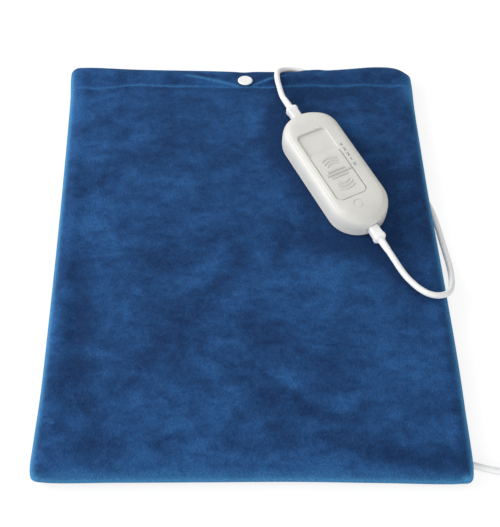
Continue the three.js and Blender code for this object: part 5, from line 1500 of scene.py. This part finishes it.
@dataclass
class Handset:
    """The handset's casing, lens, printed scale and strain reliefs, in its own frame."""

    origin: Point = (74.3, 65.8, 16.3)
    turn: float = -64.0
    length: float = 128.5
    width: float = 52.0
    height: float = 23.0
    parting: float = 9.5
    gap: float = 0.3
    wall: float = 2.2
    roof: float = 2.6
    end_slope: Tuple[float, float, float] = (46.0, 67.0, 0.3)
    contour: Tuple[float, float, float] = (4.3, 0.5, 0.3)
    base_heights: Tuple[float, ...] = (0, 0.03, 0.11, 0.22, 1)
    base_insets: Tuple[float, ...] = (0.17, 0.09, 0.03, 0.01, 0)
    roof_heights: Tuple[float, ...] = (0, 0.34, 0.61, 0.8, 0.908, 0.962, 0.99, 1)
    roof_insets: Tuple[float, ...] = (0, 0.01, 0.04, 0.098, 0.17, 0.27, 0.45, 0.7)
    window: Tuple[float, float] = (76.0, 28.5)
    window_corner: float = 5.6
    window_middle: Tuple[float, float] = (-0.5, -3.75)
    recess_floor: float = 21.0
    tray: float = 1.6
    lens_place: Tuple[float, float] = (45.2, -4.0)
    lens_radius: float = 3.78
    lens_face: float = 22.75
    lens_hole: Tuple[Tuple[float, float], ...] = ((15, 3.9), (22.4, 3.9), (22.8, 3.98), (24, 4.6))
    slot: Tuple[float, float, float] = (28.2, 7.8, 1.0)
    screw_place: Tuple[float, float] = (48.5, 13.5)
    boss_radius: float = 3.75
    screw_head: Tuple[Tuple[float, float], ...] = ((-1, 3.3), (0.25, 2.95), (3.5, 2.9))
    screw_shaft: Tuple[Tuple[float, float], ...] = ((2, 1.6), (12, 1.6))
    relief_axis: float = 9.5
    neck_opening: Tuple[float, float, float] = (8.9, 7.3, 2.0)
    relief_sections: Tuple[Tuple[float, ...], ...] = (
        (-7.2, 11.5, 9.6, 2.0), (-4.8, 11.5, 9.6, 2.0), (-4.8, 8.2, 6.6, 1.6), (0.4, 8.2, 6.6, 1.6),
        (0.45, 8.4, 7.2, 1.7), (0.6, 8.8, 7.6, 1.9), (1.0, 9.1, 7.9, 2.0), (8.4, 9.3, 8.1, 2.1),
        (8.9, 9.7, 8.4, 2.1), (9.4, 10.3, 8.8, 2.2), (11.8, 10.3, 8.8, 2.2), (12.3, 10.1, 8.6, 2.3),
        (12.9, 9.2, 7.9, 2.6), (13.9, 7.2, 6.9, 3.1), (14.3, 6.6, 6.5, 3.1), (14.7, 6.2, 6.2, 3.05),
        (16.0, 5.95, 5.95, 2.95), (20.0, 5.75, 5.75, 2.85), (24.0, 5.45, 5.45, 2.7),
        (24.7, 5.28, 5.28, 2.6))
    settings: Tuple[float, ...] = (9.2, 3.45, -2.3, -8.05, -13.8)
    digit_size: float = 4.5
    digit_across: float = 13.7

    def world(self) -> Matrix:
        """Returns the handset frame's place, in millimetres."""
        return Matrix.Translation(self.origin) @ Matrix.Rotation(math.radians(self.turn), 4, "Z")

    def placed(self, name: str, vertices: np.ndarray, faces: Sequence[Sequence[int]],
               round_angle: float = 40.0) -> bpy.types.Object:
        """Makes a piece from places in the handset's own frame."""
        turn = np.array(self.world())
        moved = np.asarray(vertices, float) @ turn[:3, :3].T + turn[:3, 3]
        return make_object(name, moved, faces, round_angle)

    def stadium(self, inset: float, count: int = 160) -> np.ndarray:
        """Outline of the casing drawn in by a distance, as rows of x and y."""
        radius = self.width / 2
        straight = self.length / 2 - radius
        angle = np.linspace(-math.pi / 2, math.pi / 2, count // 2 - 8)
        radius -= inset
        cap = np.column_stack([straight + radius * np.cos(angle), radius * np.sin(angle)])
        side = np.linspace(straight, -straight, 10)[1:-1]
        upper = np.column_stack([side, np.full(8, radius)])
        half = np.vstack([cap, upper])
        return np.vstack([half, -half])

    def profile(self, heights: Sequence[float], insets: Sequence[float], foot: float, rise: float,
                steps: int) -> List[Tuple[float, float]]:
        """Smooths a run of sections into many.

        Args:
            heights: the sections' heights in shares.
            insets: how far each is drawn in, in shares of the half width.
            foot: the lowest height.
            rise: height from the foot to the top.
            steps: how many sections to make.

        Returns:
            Pairs of height and inset in millimetres.
        """
        points = [(i * self.width / 2, foot + h * rise, 0) for h, i in zip(heights, insets)]
        line = route(points, 0.05)
        line = line[np.linspace(0, len(line) - 1, steps).round().astype(int)]
        return [(z, inset) for inset, z, _ in line]

    def body(self, name: str, sections: Sequence[Tuple[float, float]]) -> bpy.types.Object:
        """Builds a closed body from sections of the casing, lower towards both of its ends."""
        start, stop, share = self.end_slope
        rings = []
        for z, inset in sections:
            flat = self.stadium(inset)
            drop = share * smooth(start, stop, np.abs(flat[:, 0])) * max(z - self.parting - self.gap, 0)
            rings.append(np.column_stack([flat, z - drop]))
        return self.placed(name, *loft(rings))

    def prism(self, name: str, shape: np.ndarray, levels: Sequence[Tuple[float, float]]) -> bpy.types.Object:
        """Builds a prism from an outline, grown by a distance at each level.

        Args:
            name: the piece's name.
            shape: the outline as rows of x and y.
            levels: pairs of height and growth.

        Returns:
            The prism.
        """
        middle = shape.mean(0)
        reach = np.abs(shape - middle).max(0)
        rings = [np.column_stack([middle + (shape - middle) * (1 + grown / reach), np.full(len(shape), z)])
                 for z, grown in levels]
        return self.placed(name, *loft(rings))

    def disc(self, name: str, place: Tuple[float, float], levels: Sequence[Tuple[float, float]],
             count: int = 48) -> bpy.types.Object:
        """Turns a round piece from pairs of height and radius."""
        rings = [np.column_stack([circle(r, count) + place, np.full(count, z)]) for z, r in levels]
        return self.placed(name, *loft(rings))

    def window_outline(self, grown: float) -> np.ndarray:
        """Outline of the slider's window, grown by a distance."""
        shape = round_corners(self.window[0] + 2 * grown, self.window[1] + 2 * grown,
                              self.window_corner + grown, 14)
        return shape + self.window_middle

    def upright(self, side: Side, beyond: float, outline: np.ndarray) -> np.ndarray:
        """Stands an outline on the reliefs' axis, at a distance beyond one end of the handset."""
        along = side.value * (self.length / 2 + beyond)
        return np.column_stack([np.full(len(outline), along), outline[:, 0],
                                self.relief_axis + outline[:, 1]])

    def open_ends(self, shell: bpy.types.Object) -> None:
        """Cuts the openings that the strain reliefs' necks go through."""
        outline = round_corners(*self.neck_opening, 8)
        for side in Side:
            rings = [self.upright(side, beyond, outline) for beyond in (-9, 2)]
            combine(shell, self.placed("neck", *loft(rings)), "DIFFERENCE")

    def screw_places(self) -> List[Tuple[float, float]]:
        """Places of the four screws."""
        along, across = self.screw_place
        return [(sx * along, sy * across) for sx in (-1, 1) for sy in (-1, 1)]

    def top_shell(self) -> None:
        """Builds the upper shell with its window, tray, lens hole and openings."""
        foot = self.parting + self.gap / 2
        rise = self.height - foot
        outer = self.profile(self.roof_heights, self.roof_insets, foot, rise, 72)
        place, half, depth = self.contour
        outer = [(z - depth * math.exp(-((inset - place) / half) ** 2), inset) for z, inset in outer]
        crown = [(self.height + 0.12, 24.5)]
        shell = self.body("casing_upper", outer[:-1] + [(self.height, outer[-1][1])] + crown)
        inner = [(z - (self.roof if z > 18 else self.roof * (z - foot) / (18 - foot) if z > foot else 0),
                  inset + self.wall) for z, inset in outer[::4]]
        inner[0] = (foot - 2, inner[0][1])
        hollow = self.body("hollow", inner)
        tray = self.prism("tray", self.window_outline(0), [(self.recess_floor - self.tray, self.tray),
                                                           (self.height + 1, self.tray)])
        combine(hollow, tray, "DIFFERENCE")
        combine(shell, hollow, "DIFFERENCE")
        length, width, corner = self.slot
        window = [(self.recess_floor, 0), (self.height + 3, 0)]
        slot = [(self.recess_floor - 3, 0), (self.recess_floor + 1, 0)]
        combine(shell, self.prism("window", self.window_outline(0), window), "DIFFERENCE")
        outline = round_corners(length, width, corner, 4) + self.window_middle
        combine(shell, self.prism("slot", outline, slot), "DIFFERENCE")
        combine(shell, self.disc("hole", self.lens_place, self.lens_hole), "DIFFERENCE")
        self.open_ends(shell)
        shade(shell, 32.0)
        settle(shell, CASING, Body.CARRIER, "handset_top_shell")

    def bottom_shell(self) -> None:
        """Builds the lower shell with its bosses, screw holes and openings."""
        top = self.parting - self.gap / 2
        outer = self.profile(self.base_heights, self.base_insets, 0, top, 40)
        shell = self.body("casing_lower", outer)
        inner = [(max(z, self.wall), inset + self.wall) for z, inset in outer if z > self.wall * 0.6]
        inner = [(self.wall, inner[0][1])] + inner[2:] + [(top + 2, inner[-1][1])]
        combine(shell, self.body("hollow", inner), "DIFFERENCE")
        for place in self.screw_places():
            boss = self.disc("boss", place, [(1.2, self.boss_radius), (top, self.boss_radius)])
            combine(shell, boss, "UNION")
        for place in self.screw_places():
            combine(shell, self.disc("head", place, self.screw_head), "DIFFERENCE")
            combine(shell, self.disc("shaft", place, self.screw_shaft), "DIFFERENCE")
        self.open_ends(shell)
        shade(shell, 32.0)
        settle(shell, CASING, Body.CARRIER, "handset_bottom_shell")

    def lens(self) -> None:
        """Builds the round lens, a hair below the roof."""
        r, face = self.lens_radius, self.lens_face
        levels = [(19.6, r + 0.9), (20.2, r + 0.9), (20.3, r), (face - 0.2, r), (face - 0.06, r - 0.06),
                  (face, r - 0.3), (face + 0.05, r * 0.6), (face + 0.07, 0.05)]
        settle(self.disc("signal_lens", self.lens_place, levels, 64), LENS, Body.CARRIER, "indicator_lens")

    def roof_height(self, v: np.ndarray) -> np.ndarray:
        """Height of the roof at places across it."""
        foot = self.parting + self.gap / 2
        sections = self.profile(self.roof_heights, self.roof_insets, foot, self.height - foot, 200)
        across = self.width / 2 - np.array([s[1] for s in sections])[::-1]
        return np.interp(np.abs(v), across, np.array([s[0] for s in sections])[::-1], left=self.height)

    def scale(self) -> None:
        """Prints the numbers beside the window, lying on the roof."""
        for number, along in enumerate(self.settings):
            data = bpy.data.curves.new(f"digit_{number}", "FONT")
            data.body, data.size, data.offset = str(number), self.digit_size, 0.05
            data.align_x, data.align_y = "CENTER", "CENTER"
            data.extrude = 0.03
            data.resolution_u = 6
            text = bpy.data.objects.new("digit", data)
            bpy.context.scene.collection.objects.link(text)
            ready = text.evaluated_get(bpy.context.evaluated_depsgraph_get())
            mesh = bpy.data.meshes.new_from_object(ready)
            rows = np.array([v.co for v in mesh.vertices])
            faces = [list(p.vertices) for p in mesh.polygons]
            bpy.data.objects.remove(text)
            bpy.data.meshes.remove(mesh)
            u, v = along - rows[:, 1], self.digit_across + rows[:, 0]
            z = self.roof_height(v) + 0.035 + rows[:, 2]
            finish = MARK_BLUE if number in (0, len(self.settings) - 1) else MARK_GREY
            piece = self.placed(f"scale_number_{number}", np.column_stack([u, v, z]), faces, 20.0)
            settle(piece, finish, Body.CARRIER)

    def relief(self, side: Side, name: str, node: str) -> None:
        """Builds one strain relief: flange, neck, block, chamfer and tapered tail.

        Args:
            side: the end of the handset.
            name: the piece's name.
            node: the CAD node that it replaces.
        """
        rings = []
        for beyond, wide, tall, corner in self.relief_sections:
            rings.append(self.upright(side, beyond, round_corners(wide, tall, min(corner, tall * 0.49), 8)))
        settle(self.placed(name, *loft(rings), 34.0), WHITE_PLASTIC, Body.CARRIER, node)

    def build(self) -> None:
        """Builds every fixed piece of the handset."""
        self.top_shell()
        self.bottom_shell()
        self.lens()
        self.scale()
        self.relief(Side.MAINS, "mains_boot", "mains_lead_relief")
        self.relief(Side.PAD, "pad_boot", "pad_lead_relief")


@dataclass
class SliderKnob:
    """The sliding knob: a flat plate with a thumb ramp, grip ridges and curved ribs."""

    handset: Handset
    middle: Tuple[float, float] = (11.0, -3.75)
    stem_along: float = 11.0
    length: float = 52.2
    width: float = 27.7
    corner: float = 5.2
    foot: float = 21.3
    top: float = 22.6
    ramp: float = 12.0
    toe: float = 0.45
    ridge: float = 0.62
    ridge_half: float = 0.6
    stem: Tuple[float, float] = (2.4, 7.0)
    barb: float = 0.6
    barb_levels: Tuple[float, float] = (15.2, 16.1)
    pitch: float = 3.3
    arcs: Tuple[float, ...] = (8.1, 11.3, 14.5)
    arc_offset: float = 2.6
    arc_half: float = 0.7
    arc_spans: Tuple[float, ...] = (1.12, 1.0, 0.78)
    pointer: Tuple[float, float, float] = (1.55, 12.0, 1.3)
    straight: Tuple[float, float] = (8.25, 1.2)
    arc_share: float = 0.85
    rim_round: float = 0.55
    grid: Tuple[int, int] = (190, 104)

    def relief(self, u: np.ndarray, v: np.ndarray, spread: float = 1.0) -> np.ndarray:
        """Height of the ridges at places on the knob's face.

        Args:
            u: places along the knob.
            v: places across it.
            spread: how many times as wide as they are to take the ridges.

        Returns:
            The height of each place above the face.
        """
        def bar(off: np.ndarray, along: np.ndarray, half: float, share: float = 1.0) -> np.ndarray:
            ends = 1 - smooth(half - 0.6, half + 0.3, np.abs(along))
            flank = smooth(0.15 * spread, self.ridge_half * 1.25 * spread, np.abs(off))
            return share * self.ridge * (1 - flank) * ends

        du, dv = u - self.middle[0], v - self.middle[1]
        offset, half, share = self.pointer
        height = bar(du, dv - offset, half, share)
        for side in (-1, 1):
            height = np.maximum(height, bar(du - side * self.pitch, dv, *self.straight))
            x = side * (du - side * self.arc_offset)
            angle = np.arctan2(dv, x)
            for radius, span in zip(self.arcs, self.arc_spans):
                reach = self.arc_half * span * radius
                arc = bar(np.hypot(x, dv) - radius, angle * radius, reach, self.arc_share)
                height = np.maximum(height, arc)
        return height

    def hollow_shade(self, piece: bpy.types.Object) -> None:
        """Paints shade into the hollows beside the ridges and into the groove round the rim, except at the
        ramp's toe.
        """
        places = np.empty(len(piece.data.vertices) * 3)
        piece.data.vertices.foreach_get("co", places)
        turn = np.array(self.handset.world())
        u, v, z = ((places.reshape(-1, 3) / MM - turn[:3, 3]) @ turn[:3, :3]).T
        deep = (self.relief(u, v, 2.2) - self.relief(u, v)) / self.ridge
        inside = np.minimum(self.length / 2 - (u - self.middle[0]),
                            self.width / 2 - np.abs(v - self.middle[1]))
        deep = np.maximum(deep, 1 - smooth(0.3, 1.1, inside))
        paint_layer(piece, "hollow", deep * (z > self.foot + 0.2))

    def build(self) -> None:
        """Builds the knob as one closed form with its stem."""
        nu, nv = self.grid
        half = self.length / 2
        su = np.linspace(0, 1, nu)
        u = -half + self.length * (su - 0.006 * np.sin(4 * math.pi * su))
        arc = np.maximum(np.abs(u) - (half - self.corner), 0)
        reach = self.width / 2 - self.corner + np.sqrt(np.maximum(self.corner ** 2 - arc ** 2, 0))
        sv = np.linspace(-1, 1, nv)
        sv += 0.03 * np.sin(math.pi * sv)
        uu = np.repeat(u, nv)
        vv = (reach[:, None] * sv[None]).ravel()
        x, y = uu + self.middle[0], vv + self.middle[1]
        corner_u = np.maximum(np.abs(uu) - (half - self.corner), 0)
        corner_v = np.maximum(np.abs(vv) - (self.width / 2 - self.corner), 0)
        inside = np.where((corner_u > 0) & (corner_v > 0), self.corner - np.hypot(corner_u, corner_v),
                          np.minimum(half - np.abs(uu), self.width / 2 - np.abs(vv)))
        inside = np.maximum(inside, 0)
        slope = smooth(-0.5, self.ramp, uu + half)
        face = self.foot + self.toe + (self.top - self.foot - self.toe) * slope
        face = face + self.relief(x, y) * smooth(0.6, 2.2, inside)
        soft = self.rim_round
        face -= soft - np.sqrt(np.maximum(soft ** 2 - (soft - np.minimum(inside, soft)) ** 2, 0))
        vertices = np.column_stack([x, y, face])
        faces = [[a, d, c, b] for a, b, c, d in grid_faces(nu, nv)]
        rim = grid_rim(nu, nv)
        low = vertices[rim].copy()
        low[:, 2] = self.foot
        base = len(vertices)
        vertices = np.vstack([vertices, low, [[self.middle[0], self.middle[1], self.foot]]])
        count = len(rim)
        for i in range(count):
            j = (i + 1) % count
            faces.append([rim[i], rim[j], base + j, base + i])
            faces.append([base + i, base + j, base + count])
        knob = self.handset.placed("heat_knob", vertices, faces, 38.0)
        long, wide = self.stem
        low, high = self.barb_levels
        for l, w, z0, z1 in ((long, wide, low, self.foot + 0.2), (long + 2 * self.barb, wide / 2, low, high)):
            shape = round_corners(l, w, 0.3, 4) + (self.stem_along, self.middle[1])
            combine(knob, self.handset.prism("stem", shape, [(z0, -0.2), (z0 + 0.3, 0), (z1, 0)]), "UNION")
        shade(knob, 38.0)
        self.hollow_shade(knob)
        settle(knob, KNOB, Body.SLIDER, "slider_knob")


def dress_carried_nodes() -> None:
    """Gives every CAD node that stays its finish."""
    for finish, names in CARRIED.items():
        for name in names:
            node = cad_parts[name]
            node.data.materials.clear()
            node.data.materials.append(finish.material())
            log.info("node %s dressed in %s", name, finish.name)


def write_sizes(after: object) -> None:
    def rows(box: object) -> List[List[float]]:
        """Turns a box into plain lists."""
        return [[float(c) for c in corner] for corner in box]


def main() -> None:
    """Builds the scene, piece by piece."""
    logging.basicConfig(level=logging.INFO, format="%(message)s")
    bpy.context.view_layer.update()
    Studio().build()
    Leads().build(FlatPlug().build())
    PlushCover().build()
    StudCaps().build()
    handset = Handset()
    handset.build()
    SliderKnob(handset).build()
    dress_carried_nodes()
    write_sizes(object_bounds())


if __name__ == "__main__":
    main()
